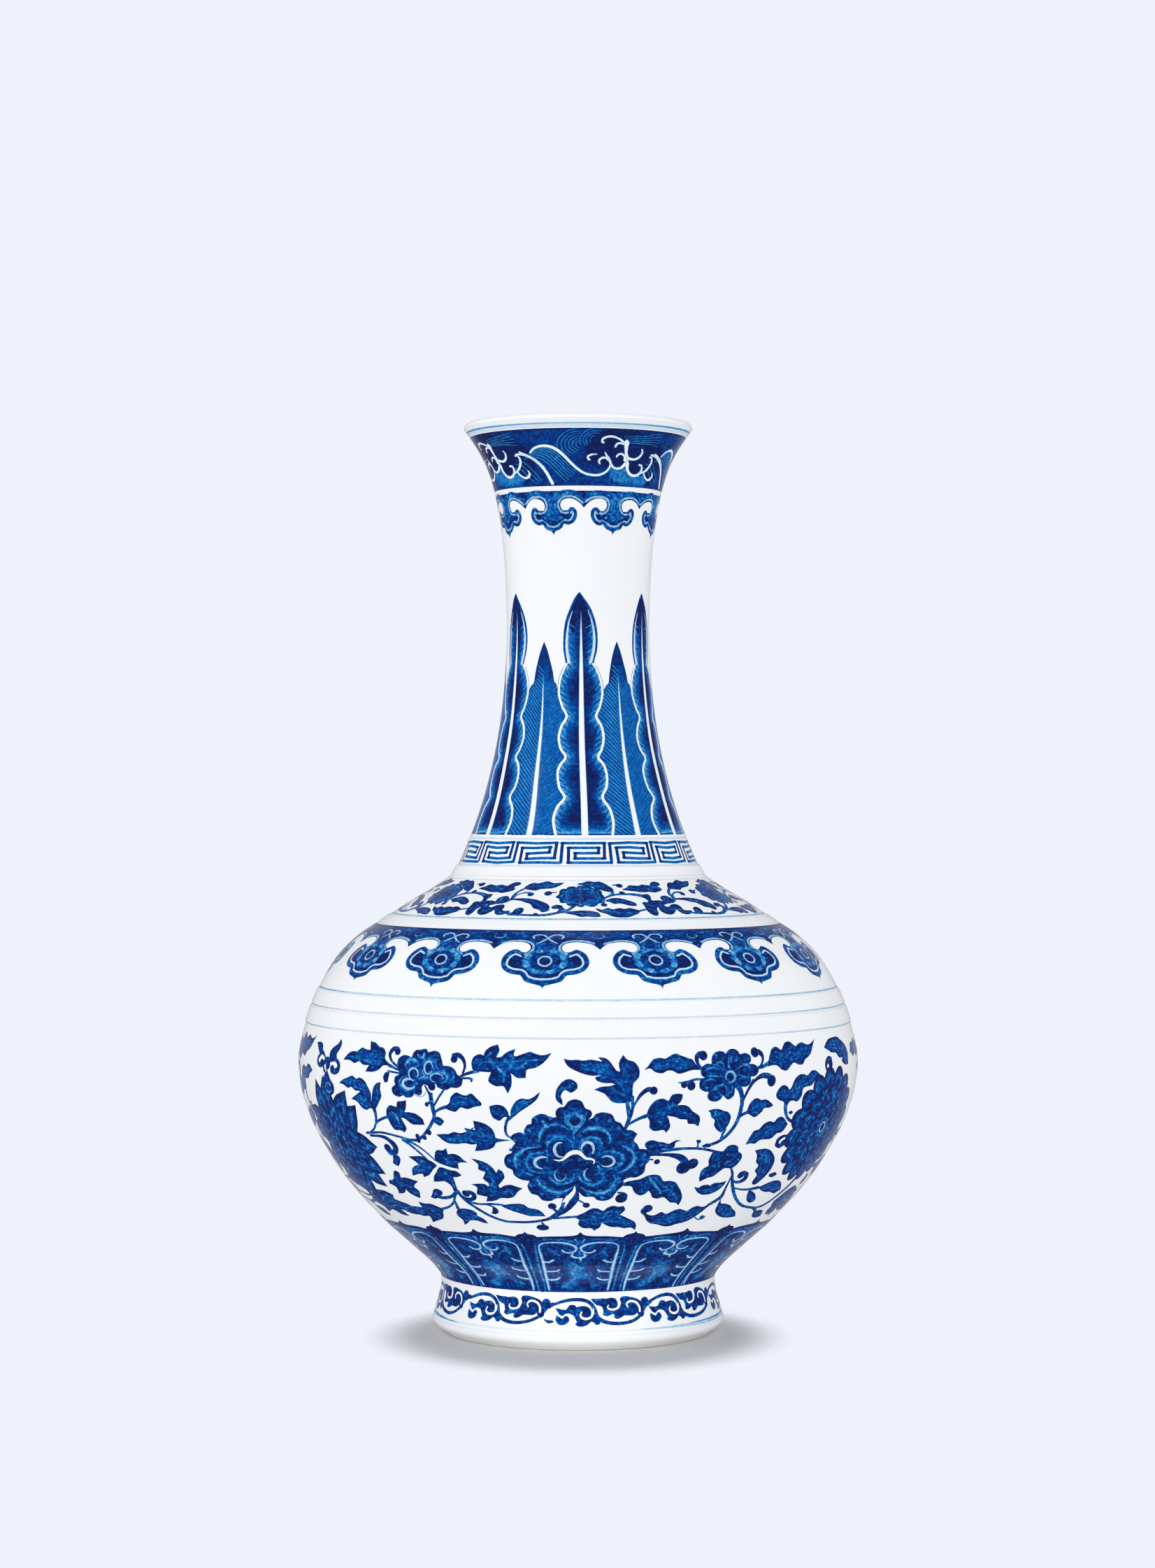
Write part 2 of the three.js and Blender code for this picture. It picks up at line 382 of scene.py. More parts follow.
class Painting:
    """Brush marks on the unrolled wall, each over the ones before it.

    A mark is its outline in degrees and rise, the strength of its ink, the direction of the brush and how
    grainy the ink lies.
    """

    def __init__(self, wall):
        self.wall = wall
        self.marks = []
        self.copies = (0,)
        self.grain = 1.0
        self.lift = 0.0
        self.bleed = BLEED

    def repeat(self, *turns):
        """Paints what follows at each of these turns"""
        self.copies = turns

    def spread(self, points):
        """Degrees and rise to millimetres round and rise, at each point's own radius"""
        p = np.asarray(points, float)
        return np.column_stack([np.radians(p[:, 0]) * self.wall.at("r", p[:, 1]), p[:, 1]])

    def gather(self, points):
        """Millimetres round and rise back to degrees and rise"""
        return np.column_stack([np.degrees(points[:, 0] / self.wall.at("r", points[:, 1])), points[:, 1]])

    def add(self, outline, ink, way=(1, 0)):
        """Adds a closed outline in degrees and rise to every copy, each a little different"""
        u, s = np.asarray(outline, float).T
        for k, turn in enumerate(self.copies):
            sway = 0 if k == 0 else HAND_SWAY
            moved = np.column_stack([u + turn + sway * 0.6 * np.sin(s * 0.17 + 2.1 * k),
                                     s + self.lift + sway * np.sin(u * 0.3 + 1.7 * k)])
            self.marks.append((turned_left(moved), ink, math.atan2(way[1], way[0]), self.grain))

    def outline(self, points):
        """The smooth closed line through points, in millimetres, with its inside on the left"""
        return turned_left(flow(self.spread(points), True))

    def fill(self, points, ink, soft=False):
        """A smooth closed shape. A soft one has an edge where the cobalt has run thin into the glaze"""
        line = self.outline(points)
        way = long_way(line)
        if soft:
            line = inset(line, -self.bleed)
            self.add(self.gather(line), RUN, way)
            line = inset(line, RUN_WIDTH)
        self.add(self.gather(line), ink, way)

    def stroke(self, points, width, ink, smooth=True):
        """A brush line. width is one number, or the widths along the line from its start to its end"""
        if ink > MELT_FROM:
            width = np.add(width, self.bleed)
        line = self.spread(points)
        if smooth:
            line = flow(line)
        along = np.concatenate([[0], np.cumsum(np.linalg.norm(np.diff(line, axis=0), axis=1))])
        widths = np.atleast_1d(np.asarray(width, float))
        w = np.interp(along / along[-1], np.linspace(0, 1, len(widths)), widths)[:, None] / 2
        way = unit(np.gradient(line, axis=0))
        side = left_of(way)
        outline = np.concatenate([line - side * w, line[-1:] + way[-1:] * w[-1], (line + side * w)[::-1],
                                  line[:1] - way[:1] * w[0]])
        self.add(self.gather(outline), ink, line[-1] - line[0])

    def dot(self, turn, rise, radius, ink=DARK, height=None, soft=False):
        """A round blob, its radius in millimetres"""
        self.fill(self.arc(turn, rise, radius, height or radius, 0, 330, 12), ink, soft=soft)

    def arc(self, turn, rise, wide, high, start, sweep, count=12):
        """Points of an arc in degrees and rise, from a start angle through a sweep in degrees"""
        a = np.radians(start + np.linspace(0, sweep, count))
        rises = rise + high * np.sin(a)
        return np.column_stack([turn + np.degrees(wide * np.cos(a) / self.wall.at("r", rises)), rises])

    def leaf(self, points, tone=DEEP, edge=0.55, veins=2, grow=0.0):
        """A leaf with a dark edge, and paler streaks where the brush thinned out along its middle"""
        line = inset(self.outline(points), -grow - self.bleed / 2)
        way = long_way(line)
        self.add(self.gather(line), RUN, way)
        self.add(self.gather(inset(line, RUN_WIDTH)), DARK, way)
        self.add(self.gather(inset(line, edge + RUN_WIDTH)), tone, way)
        if not veins:
            return
        runs, way, side = spine(line)
        for run in runs:
            along, middle, half = run.T
            wide = half.max()
            if wide < 1.1:
                continue
            place = lambda shift, keep: (along[keep, None] * way
                                         + (middle[keep] + shift * half[keep])[:, None] * side)
            inner = half > 0.9
            if inner.sum() > 2:
                self.stroke(self.gather(place(0, inner)), (0.2, min(1.0, wide * 0.3), 0.2), MID)
            if veins > 1 and wide > 1.8:
                for shift, start in ((0.48, 1), (-0.46, 0)):
                    keep = np.flatnonzero(half > 1.5)[start::2]
                    if len(keep) > 2:
                        self.stroke(self.gather(place(shift, keep)), (0.1, 0.55, 0.15), MID - 0.05)

    def patch(self, points, *inks, depth=0.6):
        """A shape whose ink thins step by step towards its middle"""
        line = self.outline(points)
        for k, ink in enumerate(inks):
            self.add(self.gather(inset(line, depth * k)), ink)

    def curl(self, points, width, ball):
        """A tendril that ends in a round bead"""
        self.stroke(points, width, DEEP)
        self.dot(*points[-1], ball, soft=True)

    def ring(self, rise, width, ink):
        """A line all the way round"""
        turns = np.linspace(-180 - RING_STEP, 180 + RING_STEP, int(360 / RING_STEP) + 3)
        rise += self.lift
        low, high = np.full_like(turns, rise - width / 2), np.full_like(turns, rise + width / 2)
        line = np.concatenate([np.column_stack([turns, low]), np.column_stack([turns, high])[::-1]])
        self.marks.append((line, ink, 0, self.grain))

    def band(self, low, high, ink):
        """A wash all the way round, from one rise to another"""
        self.ring((low + high) / 2, high - low, ink)


def around(count, first=0.0):
    """Evenly spaced turns, from -180 to 180 degrees, the first one first"""
    pitch = 360 / count
    return [(first + k * pitch + 180) % 360 - 180 for k in range(count)]


def placed(p, turn, rise, points):
    """A motif drawn in millimetres, upright about 0, set at a place on the wall"""
    radius = float(p.wall.at("r", rise))
    return np.column_stack([turn + np.degrees(points[:, 0] / radius), rise + points[:, 1]])


def wave_band(p):
    """Four waves that break into foam under the lip"""
    p.repeat(0)
    p.grain = 0.5
    p.band(444.4, 445.9, PALE * 0.4)
    p.ring(446.4, 0.9, PALE * 0.9)
    p.stroke(pairs(14, 446.4, 50, 446.4, 80, 446.4, 120, 446.4, 240, 446.4, 280, 446.4, 310, 446.4,
        346, 446.4), (0.1, 0.8, 0.9, 0.9, 0.9, 0.8, 0.1), LIGHT)
    p.band(418.3, 444.0, DEEP - 0.04)
    p.ring(443.6, 0.8, DARK)
    p.repeat(*around(4))
    p.fill(pairs(3, 429, 5, 435, 8, 441, 16, 443.2, 30, 443.4, 44, 441, 58, 436, 62, 428, 58, 421, 50, 420,
        44, 423, 36, 423.4, 30, 427, 22, 427, 14, 426, 8, 427.4), DARK)
    p.fill(pairs(20.4, 426.4, 21.4, 422.6, 26, 420, 36, 419, 47, 419, 53, 421, 48, 424, 43, 423.6, 37, 423,
        32.4, 426.2, 26, 426.4), MID - 0.06)
    thin = LIGHT + 0.06
    for k in range(9):
        p.stroke(pairs(21 + 3.2 * k, 420.4, 21.8 + 3.2 * k, 423.2 + 0.8 * math.sin(k)), (0.2, 0.6, 0.2),
            LIGHT)
    for radius in (2.2, 3.6, 5, 6.4, 7.8, 9.4):
        p.stroke(p.arc(2, 436.4, radius * 1.1, radius * 0.8, 95, 165 - radius * 3), (0.15, 0.4, 0.2), thin)
    for radius in (2.6, 4, 5.4, 6.8):
        p.stroke(p.arc(10, 438.4, radius, radius * 0.8, 70, 150), (0.15, 0.35, 0.15), thin)
    crest = pairs(-29.8, 433, -27, 434.7, -23, 435.7, -19, 435.8, -15, 435, -11, 433, -7, 430, -3, 427,
        1, 424.8, 5, 423.4, 10, 422.8, 14, 423, 17.5, 424, 20, 425.8, 20.6, 427.4)
    for depth in (1.6, 2.7, 3.8, 5, 6.3, 7.7):
        p.stroke(crest[1:9] - (1.1 * depth, 0.62 * depth), (0.15, 0.5, 0.45, 0.15), thin)
    for depth in (2.6, 4.4, 6.2, 8.2, 10.4):
        p.stroke(pairs(-66, 434 + depth * 0.5, -58, 436.4 + depth * 0.42, -48, 436.2 + depth * 0.5, -38,
            434.6 + depth * 0.8), (0.15, 0.35, 0.15), thin)
    for depth in (2, 3.6, 5.2):
        p.stroke(pairs(-40 - depth, 432 - depth, -34 - depth, 431 - depth, -27 - depth, 426.4 - depth,
            -23 - depth, 421.6 - depth * 0.4), (0.15, 0.35, 0.15), thin)
    p.fill(pairs(9, 440.6, 16, 442, 24, 441.4, 27, 438, 25, 434.6, 19, 436, 12, 436), DARK)
    for line, width in (
            (crest, (0.8, 1.2, 1.3, 1.1, 0.9, 0.9, 0.7)),
            (pairs(-40.5, 432.6, -36, 432.5, -31, 431.3, -26, 428.8, -21.5, 425, -18.5, 421, -17.2, 419.2),
             (0.7, 1, 1.2, 1.2, 1.3)),
            (pairs(28.4, 437.8, 29, 435, 30, 432.4, 31.4, 429.6, 31.6, 427.8), (2.8, 1.8, 1.3, 2.2, 1.2)),
            (pairs(26.6, 437.6, 24, 438.9, 20, 440, 16.4, 440, 13.8, 438.9, 13.6, 437.6, 14.6, 437.2),
             (1, 0.8, 0.9, 0.9, 0.8)),
            (pairs(27, 436.8, 24.6, 437.2, 22.6, 436.8, 21.9, 435.4), (0.7, 0.8, 0.8)),
            (pairs(32, 430.6, 35, 430.2, 38, 430.5, 40.6, 431.8, 41.4, 433.8, 40.2, 434.9),
             (1.3, 0.9, 0.9, 0.9, 0.6)),
            (pairs(32.2, 428.6, 33, 425.8, 35.6, 423.8, 39.4, 423.2, 43, 424, 44.8, 426, 43.8, 427.9,
             41.6, 428), (1.7, 1.4, 1.2, 1, 1, 0.7)),
            (pairs(44, 424.6, 48, 425.4, 51, 427.6, 52, 430, 50.6, 432, 49, 431.7), (0.8, 0.9, 1, 0.7)),
            (pairs(47, 425, 49.4, 423, 52.6, 421.9, 55.4, 422.4, 57, 424, 56.2, 425),
             (0.7, 0.8, 0.9, 0.7)),
            (pairs(30.8, 428, 28, 426.2, 24.4, 425.9, 21.4, 427.2, 19.4, 429.8, 17.6, 431.2, 16.2, 432.7),
             (1.5, 1, 0.8, 1, 1, 0.4)),
            (pairs(19.4, 429.2, 17, 430.4, 14.4, 430.2, 12.9, 429, 13.6, 427.8), (0.7, 0.8, 0.8, 0.6)),
            (pairs(11.4, 431.9, 8.4, 431.8, 6, 430.9, 6.2, 429.7, 7.2, 429.5), (0.2, 0.6, 0.9, 0.7)),
            (pairs(30.2, 429.4, 29.4, 431.2, 27.2, 432.3, 24.8, 432.1, 23.9, 431), (1.5, 0.9, 0.7, 0.7)),
            (pairs(53, 433.2, 58, 432, 63, 430, 68, 426.5), (0.9, 0.8, 0.5, 0.3))):
        p.stroke(line, np.multiply(width, 0.86) + 0.4, PALE + 0.12)
        p.stroke(line, np.multiply(width, 0.86), BARE)
    p.repeat(0)
    p.grain = 1.0


def beside(p, points, depth):
    """The smooth line through points, moved to its left by a depth in millimetres"""
    line = flow(p.spread(points))
    return p.gather(line + left_of(unit(np.gradient(line, axis=0))) * depth)


def small_ruyi_border(p):
    """Eight small cloud heads under the waves"""
    p.repeat(0)
    p.band(397.4, 416.2, DEEP)
    tip = pairs(0, 397.6, 0.9, 398.8, 2.6, 399.5, 4.8, 399.9, 6.8, 400.9, 8.2, 402.3, 10.4, 401.9,
        13, 402.1, 15.8, 403.3, 17.5, 405.4, 17.3, 407.6, 15.4, 409, 12.8, 409.1, 10.8, 407.9)
    arch = pairs(10.8, 407.9, 8.2, 407.7, 6.2, 409, 5.9, 410.7, 7.4, 412.2, 10.5, 412.9, 14.5, 412.8,
        18, 411.7, 20.6, 410.4, 22.5, 409)
    heads(p, around(8, -18.4), tip, arch, 395, 1.3, 0.85)
    p.patch(pairs(-9, 404.6, -5, 402.8, 0, 402, 5, 402.8, 9, 404.6, 9, 406.4, 5.2, 407, 3.6, 409.4, 3, 413,
        4, 415.4, -4, 415.4, -3, 413, -3.6, 409.4, -5.2, 407, -9, 406.4), DEEP, WASH, depth=0.9)
    for x, y, size in (
            (-3.4, 414.4, 1), (0.4, 413, 1.1), (3.6, 414.8, 0.9), (-1.4, 410.8, 1), (1.9, 409.6, 0.9),
            (-0.6, 407.8, 1.1), (2.6, 406.6, 0.9), (-3.2, 406.2, 0.9), (0.2, 404.8, 0.9),
            (5.4, 405.2, 0.8), (-6, 404.9, 0.7)):
        p.fill(p.arc(x, y, size, size * 0.8, 0, 330, 7), LIGHT + 0.1)
    for side in (1, -1):
        p.stroke(beside(p, arch[1:-1] * (side, 1), side * 2.2), (0.3, 1, 1, 1, 0.3), LIGHT + 0.1,
            smooth=False)
        p.stroke(beside(p, arch[2:-2] * (side, 1), side * 3.4), (0.2, 0.8, 0.2), MID, smooth=False)
    p.repeat(0)


def heads(p, turns, tip, arch, low, rim, line, core=0):
    """Cloud heads that hang from a dark strip.

    tip and arch are the right half of a head and of the bare space by it, which reaches to low. A head's
    rim holds a pale line, with a core that is paler still where core is given.
    """
    half = arch[-1, 0]
    right = np.concatenate([tip, arch[1:]])
    left = right * (-1, 1) + (2 * half, 0)
    p.repeat(*turns)
    p.fill(np.concatenate([right, left[::-1][1:], [(2 * half, low)], [(0, low)]]), BARE)
    inner = np.concatenate([tip, (tip * (-1, 1))[::-1][:-1]])
    shape = p.outline(inner)
    for depth, ink in ((-0.1, RUN), (0.15, WASH + 0.03), (rim + line * 0.5, DARK)):
        p.add(p.gather(inset(shape, depth)), ink)
    for side in (1, -1):
        inside = beside(p, tip[2:] * (side, 1), side * (rim + line / 2))
        p.stroke(inside, line, PALE + 0.06, smooth=False)
        p.stroke(beside(p, arch[:-1] * (side, 1), side * 0.95), line, PALE + 0.04, smooth=False)
        if core:
            p.stroke(inside, line * 0.5, core, smooth=False)
    bridge = [inside[0], (0, inside[0][1] - 0.2), inside[0] * (-1, 1)]
    p.stroke(bridge, line, PALE + 0.06)
    if core:
        p.stroke(bridge, line * 0.5, core)


def ruyi_collar(p):
    """Fourteen cloud heads round the shoulder"""
    p.repeat(0)
    p.band(180, 212, DEEP)
    tip = pairs(0, 180.4, 0.5, 181.6, 2, 182.3, 4, 183.6, 5.1, 186.2, 7.3, 186.9, 9.2, 188.8, 10.1, 192,
        9.8, 195.5, 8.6, 198.3, 7.2, 199.4, 6.2, 198.6, 5.2, 197.8)
    arch = pairs(5.2, 197.8, 4.2, 198.5, 3.7, 200.5, 4.4, 202.7, 6.3, 203.8, 9, 203.6, 11.3, 202.2,
        12.857, 199.4)
    heads(p, around(14, -7.6), tip, arch, 179, 1.9, 1.0, PALE * 0.4)
    p.fill(p.arc(0, 193.2, 9.5, 6.6, 0, 330), MID - 0.04)
    for angle in range(0, 360, 45):
        a = math.radians(angle + 20)
        p.dot(4.4 * math.cos(a), 193.3 + 5.4 * math.sin(a), 1.5, LIGHT - 0.02)
    p.fill(p.arc(0, 193.2, 6.6, 4.8, 0, 330), DEEP)
    for side in (1, -1):
        p.stroke(pairs(1.4 * side, 198.4, 2 * side, 201.4, 1.4 * side, 203.6), (0.4, 1.2, 0.3), MID - 0.05)
    p.fill(p.arc(0, 193.2, 3.1, 2.9, 0, 330), PALE)
    p.fill(p.arc(0, 193.2, 2.3, 2.1, 0, 330), DARK)
    for side in (1, -1):
        p.stroke(pairs(-3.6 * side, 206.4, -3.9 * side, 207.7, -2.8 * side, 208.8, -1.2 * side, 208.5,
            -0.1 * side, 206.8, 1 * side, 204.8, 2.6 * side, 203), (0.9, 0.7, 0.7, 0.8, 0.8, 0.3), PALE)
    p.stroke(pairs(11.6, 208.9, 11.4, 207.2, 12.4, 206.3, 13.6, 206.4, 14.3, 207.6, 14, 209),
        (0.3, 0.7, 0.3), LIGHT)
    p.repeat(*around(28, -1.2))
    p.stroke(pairs(-4, 210.2, -1, 209.6, 2, 210.1), (0.3, 0.9, 0.3), MID)
    p.repeat(0)
    p.ring(211.9, 0.5, DARK)


# Outlines of the two sides of a tall leaf, from its foot to its tip.
TALL_LEFT = pairs(-12.2, 269.2, -14.3, 276, -12.6, 282, -8.6, 286, -12, 290, -13.8, 296, -12.5, 300,
    -9, 303.5, -12.5, 307, -14.3, 312, -12.5, 317, -9, 321, -12.5, 325, -15.4, 331, -14.5, 337,
    -11.5, 341.4, -9.4, 343.5, -11.2, 349, -11.2, 355, -9.8, 361, -6.6, 366, -3, 370.4, 1, 373.4)
TALL_RIGHT = pairs(18.8, 269.2, 20.2, 275, 19, 281, 15.2, 286, 18, 290, 19.2, 295, 17.8, 300, 14.2, 303.5,
    17, 307, 18.8, 312, 17.5, 317, 14, 321, 17, 325, 19.4, 331, 18, 337, 14.5, 341.8, 12, 343.5, 14.6, 349,
    15.2, 355, 13.5, 361, 9.8, 366.5, 5, 370.5, 1, 373.4)


def banana_leaves(p):
    """Six tall leaves up the neck with six shorter ones between"""
    p.repeat(*around(6))
    p.grain = 0.35
    side_left = pairs(12, 269.2, 12, 320, 19, 331, 21.4, 333.8, 24, 335.4, 24.8, 339, 26.5, 344, 29, 349,
        32, 353)
    side_right = pairs(52, 269.2, 52, 320, 45, 331, 43.4, 334.6, 41.6, 335.6, 40.6, 339, 38, 344, 35.2, 349,
        32, 353)
    shape = np.concatenate([side_right, side_left[::-1][1:]])
    line = p.outline(shape)
    p.add(p.gather(line), DEEP)
    p.add(p.gather(inset(line, 0.6)), MID + 0.07)
    p.fill(pairs(32, 352.2, 29.6, 348.4, 27.2, 342, 26, 337, 29, 333, 31.4, 339, 32.2, 342, 33.2, 339,
        35.4, 333, 39.4, 337, 38, 342, 34.8, 348.6), DEEP)
    rib = lambda s: 33.1 - 0.9 * (s - 269) / 80
    for k in range(41):
        s = 262 + 1.95 * k
        reach = 19 if s < 316 else max(4.5, 19 - (s - 316) * 0.75)
        for side in (-1, 1):
            if s + reach * 0.45 > 348:
                continue
            begin = max(0, (269.3 - s) / (0.36 * reach)) * 0.5
            along = [max(begin, 0.09), max(begin + 0.2, 0.5), 1]
            p.stroke([(rib(s) + side * reach * t, s + reach * (0.75 * t - 0.12 * t * t)) for t in along],
                     (0.3, 0.5, 0.3), LIGHT + (0.02 if side < 0 else 0.1))
    p.stroke(pairs(33.3, 268.6, 32.9, 290, 32.6, 312, 32.4, 338), (3.2, 2.6, 1.8, 0.4), LIGHT)
    p.stroke(pairs(33.3, 268.6, 32.9, 290, 32.6, 312, 32.4, 335), (2.5, 1.9, 1.1, 0.1), BARE)
    tall = np.concatenate([TALL_RIGHT, TALL_LEFT[::-1][1:]])
    line = p.outline(tall)
    p.grain = 0.6
    for depth, ink in (
            (-0.25, RUN), (0, WASH + 0.04), (0.8, LIGHT - 0.04), (1.7, LIGHT + 0.1), (2.5, MID + 0.02),
            (3.4, WASH), (4.5, DEEP), (6, DARK)):
        p.add(p.gather(inset(line, depth) + (0.14 * max(depth, 0), 0)), ink)
    p.fill(pairs(1, 373, -2.6, 369.4, -6.2, 364.6, -7.2, 360, -4, 356, 0, 362, 3, 362, 7, 356, 10.6, 360.6,
        9, 365.4, 4.8, 369.6), DARK)
    for outline, side in ((TALL_LEFT, -1), (TALL_RIGHT, 1)):
        for k in range(74):
            s = 270 + 1.32 * k
            edge = float(np.interp(s, outline[:, 1], outline[:, 0]))
            inner = float(np.interp(s - 2.2, outline[:, 1], outline[:, 0]))
            mm = math.degrees(1 / float(p.wall.at("r", s)))
            reach = 3.7 + 0.8 * math.sin(k * 2.3)
            if s - 2.2 < 269.6 or abs(edge - 2.4) < 5 * mm or s > 362:
                continue
            p.stroke([(inner - side * reach * mm, s - 2.8), (inner - side * 2.2 * mm, s - 1.4),
                (edge - side * 0.9 * mm, s)], (0.1, 0.45, 0.5), LIGHT if k % 2 else MID + 0.06)
        cut = int((outline[:, 1] < 344).sum())
        p.stroke(beside(p, outline[:cut], side * 0.4), (1.2, 1.0, 1.0, 0.8), BARE, smooth=False)
        p.stroke(beside(p, outline[cut - 1:-2], side * 1.35), (1.5, 1.3, 1.1, 0.6, 0.1), PALE, smooth=False)
        p.stroke(beside(p, outline[cut - 1:-2], side * 1.2), (0.9, 0.9, 0.7, 0.3, 0.1), PALE * 0.4,
            smooth=False)
    p.stroke(pairs(3.6, 268.6, 3.4, 285, 2.6, 310, 2.4, 340, 2.3, 366), (3, 2.8, 2.4, 1.7, 0.1), PALE)
    p.stroke(pairs(3.6, 268.6, 3.4, 285, 2.6, 310, 2.4, 340, 2.3, 362), (2.6, 2.4, 2, 1.3, 0.1), BARE)
    p.repeat(0)
    p.grain = 1.0
    p.band(266.8, 269.3, BARE)


def key_fret(p):
    """A meander drawn as one line, fifteen times round"""
    p.repeat(0)
    p.grain = 0.5
    p.ring(255.6, 0.6, PALE * 0.5)
    p.ring(267.7, 0.9, PALE * 0.4)
    p.repeat(*[24 * k for k in range(15)])
    line = pairs(-8.2, 257, -7.9, 265.8, 13.3, 265.8, 12.7, 258.9, -1.4, 258.9, -1.4, 261.3, 9.9, 261.3,
        10.3, 263.7, -4.7, 263.7, -4.6, 257, 15.8, 257)
    for a, b in zip(line, line[1:]):
        flat = abs(a[1] - b[1]) < 1
        p.stroke([a, a + (b - a) * 0.5, b], 1.3, LIGHT if flat else MID, smooth=False)
    for a, b in zip(line, line[1:]):
        flat = abs(a[1] - b[1]) < 1
        p.stroke([a, a + (b - a) * 0.5, b], 0.85, MID if flat else DEEP - 0.04, smooth=False)
    for a in line[1:-1]:
        p.stroke([a - (0.6, 0), a + (0.6, 0)], 1.1, DEEP, smooth=False)
    p.repeat(0)
    p.grain = 1.0


